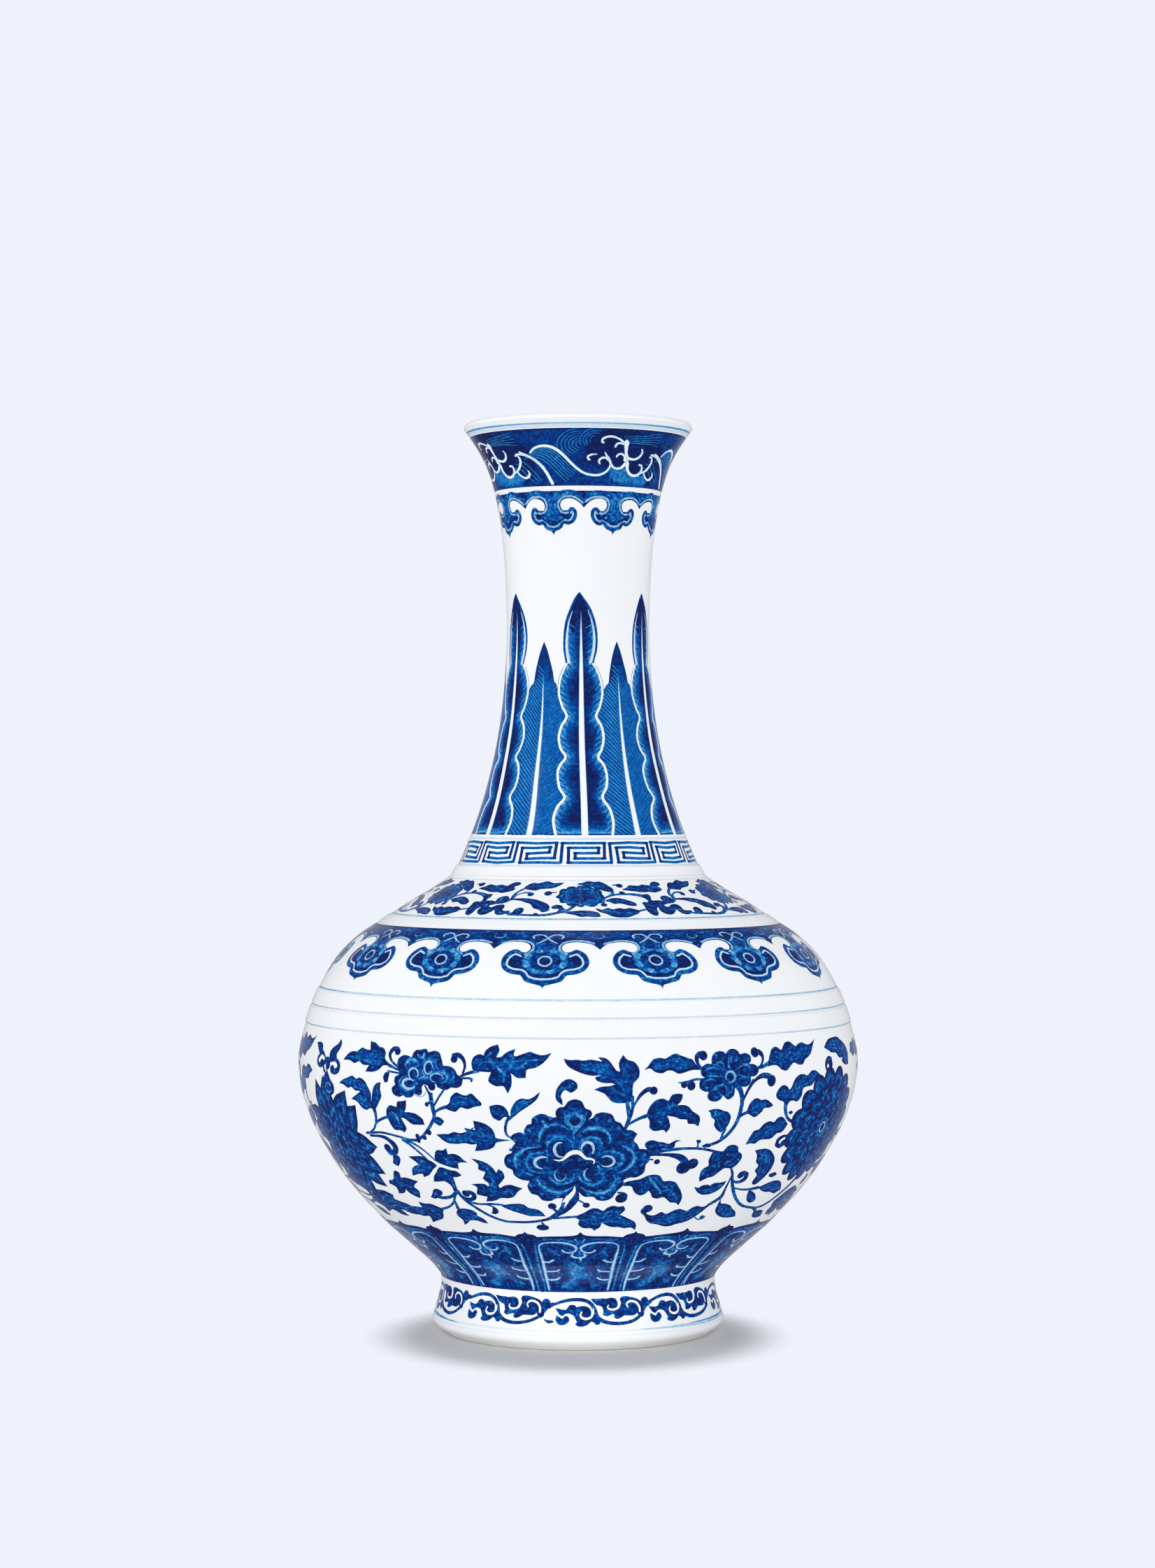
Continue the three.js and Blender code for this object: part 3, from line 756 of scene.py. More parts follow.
def shoulder_scroll(p):
    """A scroll of six small lotuses"""
    p.repeat(0)
    p.ring(219.8, 0.9, PALE + 0.04)
    p.ring(248, 0.5, PALE * 0.4)
    p.repeat(*around(6))
    for line, width in (
            (pairs(-22, 222.8, -15, 222.4, -10, 222.6, -6, 224.4, -3, 226.4, -1, 229.6), (1, 1, 1.2, 1)),
            (pairs(-6, 224.4, -3, 224.6, 0, 224.4), (0.9, 1.2)),
            (pairs(8.8, 234.6, 12, 237, 15, 237.9, 18, 238, 21, 237.6, 24, 236.4, 25.4, 234.6, 25.6, 232),
            (0.9, 1, 1.1, 1.6, 1.4)),
            (pairs(11.4, 237, 12.8, 238.2, 13, 240.4), (0.9, 1)),
            (pairs(8.4, 230.4, 8.6, 232.6, 9.4, 235), (1, 0.7)),
            (pairs(18.8, 225, 21, 225.8, 23, 226.6), (1, 0.8)),
            (pairs(33.6, 231.2, 35.4, 232.6, 36.2, 234.8, 36, 237.2, 36.6, 239.4, 38.4, 241.6, 39.8, 243),
            (1.2, 1.2, 1, 1.4)),
            (pairs(36.4, 235.8, 37.8, 237.8, 39.8, 238.8, 41.8, 238.6, 42.8, 237.6), (0.7, 0.8, 1)),
            (pairs(35.4, 224.4, 38.6, 223.2, 42, 222.6), (0.9, 0.8)),
            (pairs(48.8, 239, 51.4, 239.8), (0.8, 0.7)), (pairs(14.2, 244.7, 16, 244.8), (0.6, 0.9)),
            (pairs(54, 228.2, 55.6, 226.4), (0.8, 0.8))):
        p.stroke(line, np.multiply(width, 1.35), MID + 0.06)
    p.curl(pairs(-6.4, 224.6, -5.6, 226.6, -5.9, 228.6, -7, 229.2, -7.6, 228.2), (0.8, 1.4, 2), 1.3)
    for x, y, r in (
            (16.6, 238.9, 0.9), (16.8, 244.2, 1.1), (8.6, 229.9, 1), (42.2, 237.5, 1), (48.7, 238.9, 1.3),
            (54, 228.4, 1.1), (47, 223, 0.8), (23.2, 230.4, 1.1)):
        p.dot(x, y, r + 0.3, soft=True)
    for shape in (
            pairs(-3.6, 224, -1.5, 225, 1, 225.4, 4, 225.2, 6, 224, 6.6, 221.8, 5, 221.5, 3, 222, 1, 221.7,
            -1, 223),
            pairs(5.8, 227.2, 7.2, 226, 8.4, 226.4, 9.6, 227.2, 11, 226.2, 12.4, 226.8, 13.6, 227,
            15, 226.4, 16.6, 227, 18, 226.4, 19.6, 225.2, 18.6, 223.6, 17, 222.6, 15.4, 221.4, 13.6, 221.2,
            11.6, 221.4, 10, 222.4, 8.8, 223.8, 7, 225),
            pairs(9.6, 233, 11.6, 234.4, 13.6, 234.8, 15.8, 234, 18, 232.4, 19.4, 230.8, 19.4, 229.2,
            17.4, 229.5, 15.4, 230.9, 14, 231.3, 12.4, 231, 11, 232.4),
            pairs(-0.2, 245.6, 2, 246, 3.6, 247, 5.4, 247, 7, 246.6, 8.6, 246.9, 10.4, 245.8, 12, 243.8,
            13.3, 241.8, 13, 239.7, 11.6, 240.2, 10, 240.8, 8.6, 241.8, 7.6, 241.6, 6.6, 243, 5, 244.2,
            3, 243.9, 2, 244.8),
            pairs(24.4, 237.2, 26.3, 237.4, 26.6, 235.4, 25.8, 233.6, 26.6, 232.4, 28.6, 232.6, 30.5, 231.9,
            31.2, 230.4, 29.2, 229.6, 29.6, 228, 31, 227.6, 32.5, 229.2, 34.4, 229.4, 35.2, 227.6,
            35.2, 225.4, 36.4, 224.6, 38.2, 224.7, 37, 223, 35.4, 222.6, 34, 223.6, 33.4, 225.6, 32.4, 226,
            31.6, 224.4, 30.4, 223, 29, 222.8, 27.6, 224, 27, 226.2, 27.6, 228.4, 26.6, 228, 25.6, 226.4,
            25.4, 224, 24.8, 222, 23.6, 222.6, 22.6, 225, 22.6, 228, 22.6, 230, 24, 231.2, 25.3, 232.2,
            24.9, 234.4, 24.2, 235.8),
            pairs(30.8, 234.8, 32.2, 236, 33.6, 235.8, 34.7, 234, 34.4, 232, 33, 230.9, 30.6, 230.7,
            29.2, 231.6, 31, 232.4),
            pairs(35.4, 233.8, 39, 234.1, 42, 234.1, 45, 233.5, 47, 232.4, 49, 231, 50.4, 228.6, 50.6, 226,
            49.4, 225.1, 48, 226.8, 46, 227.8, 45, 229.6, 44, 231, 42, 231.8, 40, 233),
            pairs(17.6, 241.4, 19.6, 242.4, 21, 244, 23, 243.9, 24.8, 243.6, 26.8, 244.5, 28.6, 244,
            30.4, 243.8, 31.4, 245.4, 33, 246.4, 34.8, 246, 35.3, 244.7, 34, 244, 32.6, 243.4, 34, 242,
            34, 240.8, 32, 239.8, 30, 239.3, 28, 239.9, 26, 239.6, 24, 239.8, 22, 240.4, 20, 240.8),
            pairs(38.6, 242.4, 39.6, 244.6, 41, 245.6, 43, 245.4, 45, 246.4, 46.6, 247.2, 48.2, 246.6,
            49.6, 246, 51.4, 246.2, 53.6, 246.2, 51.6, 244.2, 49.4, 243, 47, 242.6, 45, 242, 43.6, 240.9,
            42, 241.1, 40.4, 241.4),
            pairs(39.7, 223.6, 40.1, 226.2, 41.4, 227.1, 42.4, 225.8, 42.2, 223.4, 41, 222.5)):
        p.leaf(shape, edge=0.4, veins=1, grow=0.4)
    bloom = pairs(-8, 236, -7, 238, -7, 240.5, -6, 242, -4.6, 242, -4, 243.3, -2, 243.8, -0.6, 243,
        0, 244.2, 1.6, 244.2, 2.7, 243.6, 3.6, 244, 5, 243.6, 5.8, 242.6, 7, 242.2, 8.2, 241.2, 8.9, 240,
        8.8, 238, 9.4, 236.5, 9, 234.6, 8.2, 233, 8, 231.4, 6.8, 231, 6.2, 229.6, 5, 228.6, 3.4, 228.9,
        2.4, 229.6, 1.2, 228.3, 0, 228.8, -1, 229.8, -2.4, 229, -3.6, 230, -4.2, 231.4, -5.6, 231.4,
        -6.4, 233, -6.6, 234.4)
    p.fill(bloom, DARK, soft=True)
    line = p.outline(bloom)
    for depth, ink in ((0.8, WASH), (1.5, MID - 0.08), (1.9, DEEP)):
        p.add(p.gather(inset(line, depth)), ink)
    for x, y, way in (
            (-2.6, 238.4, 150), (3, 240, 70), (5.6, 235.4, -10), (2.6, 232, -70), (-2.8, 233.4, 220)):
        p.stroke(p.arc(x, y, 2.6, 2.3, way - 120, 240), (0.2, 0.6, 0.2), MID - 0.06)
        p.stroke(p.arc(x, y, 1.4, 1.2, way - 110, 220, 8), (0.2, 0.4, 0.2), MID - 0.06)
    p.dot(1.4, 236, 1.4, DARK)
    p.repeat(0)


def belly_lines(p):
    """Pale lines across the belly, which grow darker towards its sides"""
    p.repeat(0)
    for rise, ink, left, right in (
            (175.2, PALE * 0.6, LIGHT - 0.02, 30), (167.5, PALE * 0.35, PALE + 0.08, 38),
            (159.2, PALE * 0.3, PALE + 0.04, 44)):
        p.ring(rise, 0.9, ink)
        p.stroke(pairs(right, rise, 70, rise, 95, rise, 130, rise, 172, rise), (0.1, 0.6, 0.9, 0.9, 0.1),
            PALE)
        p.stroke(pairs(-60, rise, -75, rise, -95, rise, -130, rise, -172, rise), (0.1, 0.8, 0.9, 0.9, 0.1),
            left)


def lappets(p):
    """Twelve upright panels above the waist, parted by striped strips"""
    p.repeat(0)
    p.band(28.2, 65.4, DEEP)
    p.repeat(*around(12, 0))
    p.fill(pairs(-12.6, 64, -12.4, 65.3, -8, 66, -3, 66.3, -0.5, 67, 0.6, 68.9, 1.7, 67, 4, 66.3, 8, 66.2,
        12.6, 65.3, 12.6, 64), DARK)
    p.fill(pairs(12.2, 64, 12.6, 65.8, 13.6, 67.1, 15, 67.7, 15.6, 69, 16.3, 67.6, 17.8, 67, 18.7, 65.7,
        19, 64), DARK)
    p.fill(pairs(-13.4, 62, -8, 64.4, -2, 64.6, 0.5, 63.6, 3, 64.6, 9, 64.4, 14, 62, 12, 61.6, 8, 62.6,
        3, 62.4, 0.5, 60, -2.4, 62.6, -8, 62.8, -11.6, 61.4), WASH)
    p.fill(pairs(-10.6, 29.6, -10.4, 40, -10.6, 50, -9.8, 58.8, -6, 60.4, -3, 58, -5, 56, -3.6, 54, -1, 52,
        0.5, 50, 2, 52, 4.4, 54, 5.6, 56, 4, 58, 6.4, 60.4, 10.2, 58.8, 10.9, 50, 10.4, 40, 10.6, 29.6,
        0, 29), DEEP + 0.1)
    p.patch(pairs(-5.5, 50, -4.5, 46, -5.8, 42, -4.2, 38, -5, 34.6, -7.6, 33, -8.4, 30.4, -3, 29.4, 0, 31,
        1, 33.4, 3, 35, 4.4, 33, 4, 29.8, 7, 29.6, 7.4, 33, 5.4, 36, 5.2, 40, 3.4, 43, 4, 47, 2, 49.5,
        0, 47.5, -2.4, 49.6), DEEP - 0.04, WASH, WASH - 0.04)
    p.patch(pairs(-2.9, 48.4, -2.2, 44, -3.4, 40, -2.4, 37, -3.6, 34.4, -6.4, 32.4, -6.8, 30.4, -3, 30.2,
        -0.8, 33, 0, 36, 2.4, 36, 3.9, 38.6, 2.2, 41.4, 1.8, 44.4, -0.2, 46.4), MID + 0.03, MID - 0.06,
        LIGHT + 0.09, depth=0.45)
    for points, inks in (
            (pairs(-9.6, 57.6, -8, 57.8, -6.6, 55.2, -5, 53, -6.6, 52.4, -8.6, 54.4), (WASH, MID)),
            (pairs(7.2, 59, 8.6, 58, 8.8, 55, 9.6, 52, 8.2, 51.4, 7, 54, 4.4, 51.4, 3.4, 50.4, 4, 52.6,
            6.6, 55.6), (WASH, MID)),
            (pairs(-9.6, 46, -8.4, 44.4, -6.8, 44.8, -7.4, 43, -9.4, 43.4), (WASH, )),
            (pairs(-9.8, 39.4, -7.6, 38.6, -6.4, 39.4, -7.4, 37.6, -9.6, 37.8), (WASH, )),
            (pairs(8.8, 45.6, 7, 44.6, 6, 45.6, 6.6, 43.6, 8.6, 43.4), (WASH, )),
            (pairs(9.4, 38.8, 7.4, 38.2, 6.4, 39.6, 6.6, 37.4, 9.2, 37.2), (WASH, )),
            (pairs(5, 34.4, 6.6, 33, 8.6, 33.2, 8.8, 31.4, 6, 31, 4.6, 32), (WASH, MID)),
            (pairs(-2.4, 62, -3.2, 59.6, -3, 57.4, -4.6, 58.4, -5, 60.6), (WASH, )),
            (pairs(2.8, 61.6, 3.4, 59.6, 3.2, 57.6, 4.8, 58.4, 5.2, 60.4), (WASH, ))):
        p.patch(points, *inks, depth=0.35)
    for line, width, ink in (
            (pairs(0.4, 55.6, 0.4, 52.6), (1.2, 1.6), MID),
            (pairs(-0.8, 64.2, 0, 62.2), (0.7, 0.3), LIGHT),
            (pairs(1.8, 64.2, 1.2, 62.2), (0.7, 0.3), LIGHT),
            (pairs(-9.8, 64, -5, 64.2, -1.8, 63.2), (0.2, 0.5, 0.2), MID - 0.06),
            (pairs(2.8, 63.2, 6, 64.2, 10.8, 64), (0.2, 0.5, 0.2), MID - 0.06),
            (pairs(-2.2, 40.6, -1, 38, -1.8, 35), (0.3, 0.8, 0.3), LIGHT)):
        p.stroke(line, width, ink)
    for x, top, ink in ((12.9, 61.6, DEEP), (14, 60.6, MID), (16.9, 60.6, MID), (18, 61.6, DEEP)):
        lean = 0.5 if x > 15.4 else -0.6
        p.stroke(pairs(x, 28.8, x, 40, x, 50, x + lean, top), (0.9, 1.2, 1.2, 0.6), ink)
    for x in (13.95, 16.95):
        p.stroke(pairs(x, 29.4, x, 44, x + (0.3 if x > 15 else -0.3), 59), (0.4, 0.8, 0.3), LIGHT + 0.06)
    for x in (13.3, 17.5):
        p.stroke(pairs(x, 28.8, x, 44, x, 58), (0.4, 0.5, 0.2), DARK)
    p.stroke(pairs(15.4, 28.8, 15.4, 44, 15.4, 60), (1.3, 1.1, 1.5), DARK)
    p.stroke(pairs(15.4, 29, 15.4, 40, 15.4, 50), (0.3, 0.5, 0.2), WASH)
    p.fill(pairs(15.5, 54, 14, 60.2, 13.2, 63.6, 15.5, 65, 17.8, 63.6, 17, 60.2), DARK)
    frame = PALE * 0.75
    marks = []
    for side, shift in ((-1, 0), (1, 0.3)):
        hooks = ((47.9, 7.9), (41, 6.5), (35.3, 6.8))
        m = lambda *numbers: pairs(*numbers) * (side, 1) + (shift, 0)
        marks.append((m(11.6, 29.1, 11.7, 31, 11.8, 38, 11.5, 46, 11.6, 56, 11.4, 59.4, 10.2, 61.2, 8, 62,
            5, 62, 2.8, 61.3, 1.1, 59.8, 0.5, 58, 1, 56, 2.3, 54.9, 3.8, 55, 4.8, 56.6),
            np.array((0.7, 1.1, 1.2, 1.2, 0.9, 0.55, 0.55, 0.8, 1.1, 0.9, 0.8))))
        for height, x in hooks:
            marks.append((m(11.2, height, 9.6, height - 0.1, x + 0.9, height + 0.4, x, height + 1.5),
                np.array((0.7, 0.9, 1.0, 0.8))))
    marks.append((pairs(-1.7, 54, -1.9, 52.4, -0.9, 51.4, 0.4, 51, 1.5, 51.4, 2.2, 52.5, 1.8, 54),
        np.array((0.8, 1.1, 0.8, 1.1, 0.8))))
    marks.append((pairs(0.6, 51.2, 0.9, 49), np.array((1.4, 0.4))))
    for line, width in marks:
        p.stroke(line, width + 0.5, LIGHT + 0.08)
    for line, width in marks:
        p.stroke(line, width * 0.85, frame)
    p.repeat(0)


def foot_scroll(p):
    """A small scroll round the foot, with its join left of the front"""
    p.repeat(0)
    p.ring(11.5, 0.8, PALE * 0.25)
    p.ring(9.6, 0.7, PALE * 0.15)
    for line, width, ink in (
            (pairs(-120, 11.5, -90, 12, -70, 11.7, -54, 11.2), (0.2, 1.4, 1.3, 0.2), LIGHT - 0.06),
            (pairs(25, 11.6, 60, 11.3, 90, 11.8, 120, 11.6), (0.2, 1.8, 2, 0.3), PALE * 0.8),
            (pairs(50, 11.9, 70, 11.9, 90, 12.3), (0.2, 0.7, 0.7), LIGHT),
            (pairs(-13.4, 16.2, -11.8, 15.4, -10, 15.5), (0.4, 1.3, 0.9), DEEP),
            (pairs(-13.8, 20, -12.6, 21.6, -11.8, 23.6), (1, 1.6, 1.2), LIGHT + 0.05)):
        p.stroke(line, width, ink)
    p.bleed = 0.32
    turns = (0, 38.8, 78, 118.2, 158.4, 198.6, 238.8, 279, 319)
    p.repeat(*turns)
    p.stroke(pairs(-9.6, 22.6, -7, 23.6, -4, 24.4, -1, 24.7, 2, 24.5, 4.5, 23.5, 6, 21.8, 6.9, 19.6,
        7.2, 18.2), (0.8, 1.1, 1.2, 1.5), WASH + 0.06)
    p.fill(pairs(-8.8, 20.9, -6.4, 20.2, -4.6, 20.4, -3.7, 21.7, -2.6, 22.3, -1.3, 22, -0.6, 21.3, 1, 21.7,
        3, 21.7, 4.6, 20.7, 5, 19, 4.6, 17.6, 6, 18.4, 6.9, 19.2, 7.8, 17.6, 8.7, 16.4, 8.3, 14.8, 7, 14.5,
        6.3, 15.5, 5, 15.8, 3.8, 14.7, 2.2, 13.9, 0.4, 13.8, -0.9, 14.5, -0.2, 15.4, -0.8, 16.8, -1.8, 18.4,
        -3.6, 19.2, -5.2, 19, -6.2, 18.2, -7.4, 18.8), DEEP + 0.02, soft=True)
    p.stroke(pairs(1.5, 19.6, 0.9, 18.4, 1.5, 17.2, 3.1, 16.7, 4.9, 17.3, 6, 18.9, 6.1, 20.9),
        (0.5, 0.9, 1.0, 0.9, 0.7, 0.5), BARE)
    p.dot(3.2, 19.3, 1.6, DEEP)
    p.fill(pairs(-8.5, 18, -8.6, 16.2, -7.8, 14.8, -6.3, 14.4, -4.8, 14.8, -3.8, 15.9, -3.9, 17.1,
        -4.8, 17.7, -5.6, 17.1, -6.2, 16.4, -6.9, 16.8), DEEP + 0.02, soft=True)
    p.stroke(pairs(7.2, 18, 8.4, 16.6, 10.5, 15.4, 13.5, 14.7, 16.5, 14.5, 20, 14.8, 23, 15.8, 25.4, 17.4,
        27, 19.4, 28.4, 21.4, 30.8, 22.9), (1.5, 1.2, 1.1, 1.1, 1.4), WASH + 0.06)
    p.fill(pairs(5.4, 24.8, 7.2, 22.8, 8.6, 22.4, 9.8, 21.8, 10.2, 20.6, 10.4, 19.4, 10, 18.5, 11.2, 18,
        12.6, 18.3, 13.6, 18.8, 14.7, 18.4, 14.6, 17.2, 15.7, 16.7, 17.2, 17.2, 18.6, 18, 20.5, 17.9,
        22.8, 17.9, 24.2, 19, 24.8, 17.9, 26, 16.9, 27, 18, 27, 19.6, 28, 20.8, 29.8, 21.4, 29.4, 23.6,
        28.4, 24.6, 27, 24.2, 26.2, 22.8, 25, 23.8, 23, 24.6, 20.6, 25.2, 18.6, 25.4, 17.4, 24.6,
        17.8, 22.6, 16.9, 21.2, 15, 20.6, 15.9, 22.6, 15.2, 24.4, 13.4, 25, 11.4, 24.6, 9.6, 24.8,
        7.6, 24.6), DEEP + 0.02, soft=True)
    p.stroke(pairs(12.4, 22.4, 11.8, 21.4, 12.8, 20.5, 14.6, 20.4, 16.4, 21.2, 17.2, 23.4),
        (0.4, 0.8, 0.9, 0.9, 0.7), BARE)
    p.stroke(pairs(20.4, 21, 19.9, 22.2, 20.8, 23.3, 22.4, 23.5, 24.4, 22.6, 25.4, 20.8, 25.4, 19),
        (0.5, 0.9, 0.9, 0.9, 0.8), BARE)
    p.dot(22.4, 20.4, 1.8, DEEP)
    p.dot(13.9, 22.8, 1.7, DEEP)
    for line in (pairs(11.4, 20, 13, 19.4, 15.6, 19.4), pairs(18.4, 20.6, 18.8, 23, 20, 24.4),
            pairs(0.6, 20.6, -0.6, 19, 0.4, 16.4)):
        p.stroke(line, (0.2, 0.7, 0.2), WASH - 0.06)
    p.bleed = BLEED
    p.repeat(0)


def belly_scroll(p):
    """Three kinds of lotus on a winding vine, each met twice on the way round"""
    p.repeat(0, 180)
    left_vines(p)
    peony_vines(p)
    left_leaves(p)
    p.repeat(0, 180, 60, 240)
    right_vines(p)
    right_leaves(p)
    p.repeat(0, 180, 56.5, 236.5)
    far_right_leaves(p)
    p.repeat(0, 180, 60, 240)
    right_blossom(p)
    p.repeat(0, 180)
    left_blossom(p)
    round_lotus(p, 62, 117)
    pointed_lotus(p, -61, 110)
    peony(p)
    p.repeat(0)


def peony_vines(p):
    """Vines and small leaves round the peony"""
    p.stroke(pairs(-3, 90, -3.8, 84, -5.2, 80.5, -7.5, 77, -11, 75.2, -15, 74.6, -19, 75, -22.5, 78,
        -25.5, 82.5, -27.5, 86.5, -28.8, 91.5), (1.3, 1.6, 1.4, 1.3, 1.3, 1.4), WASH)
    p.stroke(pairs(-0.6, 95, -0.6, 90, -1.7, 85.5, -3.5, 81.5, -6, 78.5, -7.5, 76.8),
        (1.2, 3.4, 2.6, 1.8, 1.6), DEEP)
    p.stroke(pairs(-6, 77.6, -2, 78.3, 2, 79), (1.4, 1.2), WASH)
    p.stroke(pairs(-4.6, 80.5, -5.6, 82.6, -6, 84), (1.1, 1.2), DEEP)
    p.dot(-6.1, 84.6, 1.8)
    p.stroke(pairs(0.2, 88, 1.3, 86.5), (0.8, 0.8), WASH)
    p.dot(1.9, 85.3, 1.5)
    p.leaf(pairs(-3, 132.5, -4.2, 135, -4.1, 138.8, -3, 142, -1.6, 143.1, -0.3, 141.6, -0.2, 139.3,
        -1.4, 137.7, -2.4, 138.8, -3.1, 137.6, -3.3, 136, -3, 134.5), veins=1)
    p.stroke(pairs(9.2, 122.5, 9.9, 127, 9.6, 131, 9.4, 134), (1.3, 1.6, 1.5), WASH)
    p.stroke(pairs(9.6, 123.5, 10.4, 130, 10.4, 136), (0.8, 1.2, 1.2), WASH)
    p.leaf(pairs(-2.8, 151.2, -1.5, 150.6, -0.3, 150.8, 1, 150.4, 2.5, 150.8, 4.6, 150, 3.8, 151.8,
        5.2, 151.4, 6.2, 149.7, 7.2, 146.6, 8, 146, 7.8, 148.6, 8, 150.5, 8.7, 152.6, 9.5, 150.6,
        10.8, 149.7, 11.7, 147, 11.6, 143.6, 10.5, 141, 10.4, 137, 10, 133.8, 9.2, 133.5, 8, 133.3,
        6.5, 134, 5.5, 136.2, 4.8, 137.5, 3, 138.9, 4.5, 140.1, 5.8, 140.2, 7, 140.9, 6.4, 141.5, 5, 141.5,
        3.6, 142.4, 3.2, 143.8, 4.5, 144.5, 2.6, 144.4, 1, 145.2, -0.6, 146.5, -2, 148.3), veins=0)
    for line in (pairs(0.4, 148.8, 2.5, 148.2, 4.6, 147.2, 6.6, 144.4),
            pairs(1.2, 147.2, 3.4, 146.4, 5.6, 144.6), pairs(8.7, 148, 8.8, 145.5, 8.3, 142.5, 8.6, 139),
            pairs(6.4, 139.6, 7.6, 138, 8.8, 136.2), pairs(7.2, 142.8, 8, 140.6, 9.4, 137.5),
            pairs(5.6, 149.8, 6.4, 147.4)):
        p.stroke(line, (0.3, 1.1, 0.3), MID - 0.06)
    p.curl(pairs(10.1, 128.5, 10.8, 132.5, 12, 136.6, 13.4, 138.7, 14.5, 138.2), (0.5, 0.8, 1.5, 2.2), 1.6)
    p.leaf(pairs(13.4, 129.4, 14, 132.2, 15, 134.2, 16.4, 134.9, 17.5, 134, 18.2, 136.2, 19.3, 136.7,
        20.4, 136.4, 20.2, 134, 19.4, 132, 21, 131.9, 22, 130.8, 22.7, 129.2, 24, 127.6, 24.5, 125.6,
        24.3, 122.6, 23.3, 123.8, 22, 124.1, 21.6, 125.8, 20.2, 126.1, 19, 127.2, 17.5, 127.7, 18, 125.5,
        18.3, 122.8, 17.6, 120.4, 16.9, 121.7, 15.2, 121.3, 14.1, 122.8, 14, 125.5, 13.5, 127.5), veins=1)
    p.stroke(pairs(9.8, 124.3, 11.6, 126.6, 13.8, 128.3), (0.9, 1.2, 1.6), WASH)
    p.leaf(pairs(13.5, 115, 13.8, 116.6, 15, 117.3, 16.3, 116.4, 17.3, 116.2, 18.4, 115.4, 19.4, 116.4,
        20.2, 117, 21.2, 116.6, 20, 116, 19.6, 113.4, 17.2, 113.2, 16.5, 111.2, 15, 111.8, 14.2, 113),
        veins=1)
    p.dot(-9.2, 71.6, 2.6, height=1.9)
    p.stroke(pairs(-8.4, 72.4, -9.2, 74.6), (0.9, 0.9), WASH)
    p.stroke(pairs(-13.2, 118.2, -14.2, 119.6, -14.4, 122.4, -14, 125.6, -13.4, 127.5), (0.7, 1.1, 1.2),
        WASH)
    p.leaf(pairs(-17.3, 131.6, -16, 132.4, -14.6, 132, -13.7, 130, -13.4, 127.2, -14.4, 127.4, -15.4, 125.8,
        -16.6, 126.8, -17.1, 129), veins=1)
    p.leaf(pairs(-13.2, 127.4, -13, 130.4, -12.2, 133.4, -11, 135.1, -9.5, 134.9, -8.4, 136, -7.2, 138,
        -7.9, 134.9, -9.3, 132.4, -11.2, 129.8, -12.4, 127.8, -13.6, 125.6), tone=WASH, edge=0.8)
    p.leaf(pairs(-29.6, 118.6, -28, 119, -26.8, 119, -25.5, 120.1, -24, 119.7, -22.6, 120.5, -23.1, 122.2,
        -21.6, 121.6, -20.7, 121.4, -20.9, 125.4, -19.3, 124.8, -18.1, 123.8, -17.1, 122, -16.7, 119.8,
        -16.3, 118, -13.4, 117.4, -16.4, 116.2, -17.3, 114, -18.8, 112.6, -21.5, 111.8, -20.8, 115.2,
        -22, 114.8, -23.5, 115.3, -25.5, 114.7, -27.3, 115, -28.5, 116.5), edge=0.7)


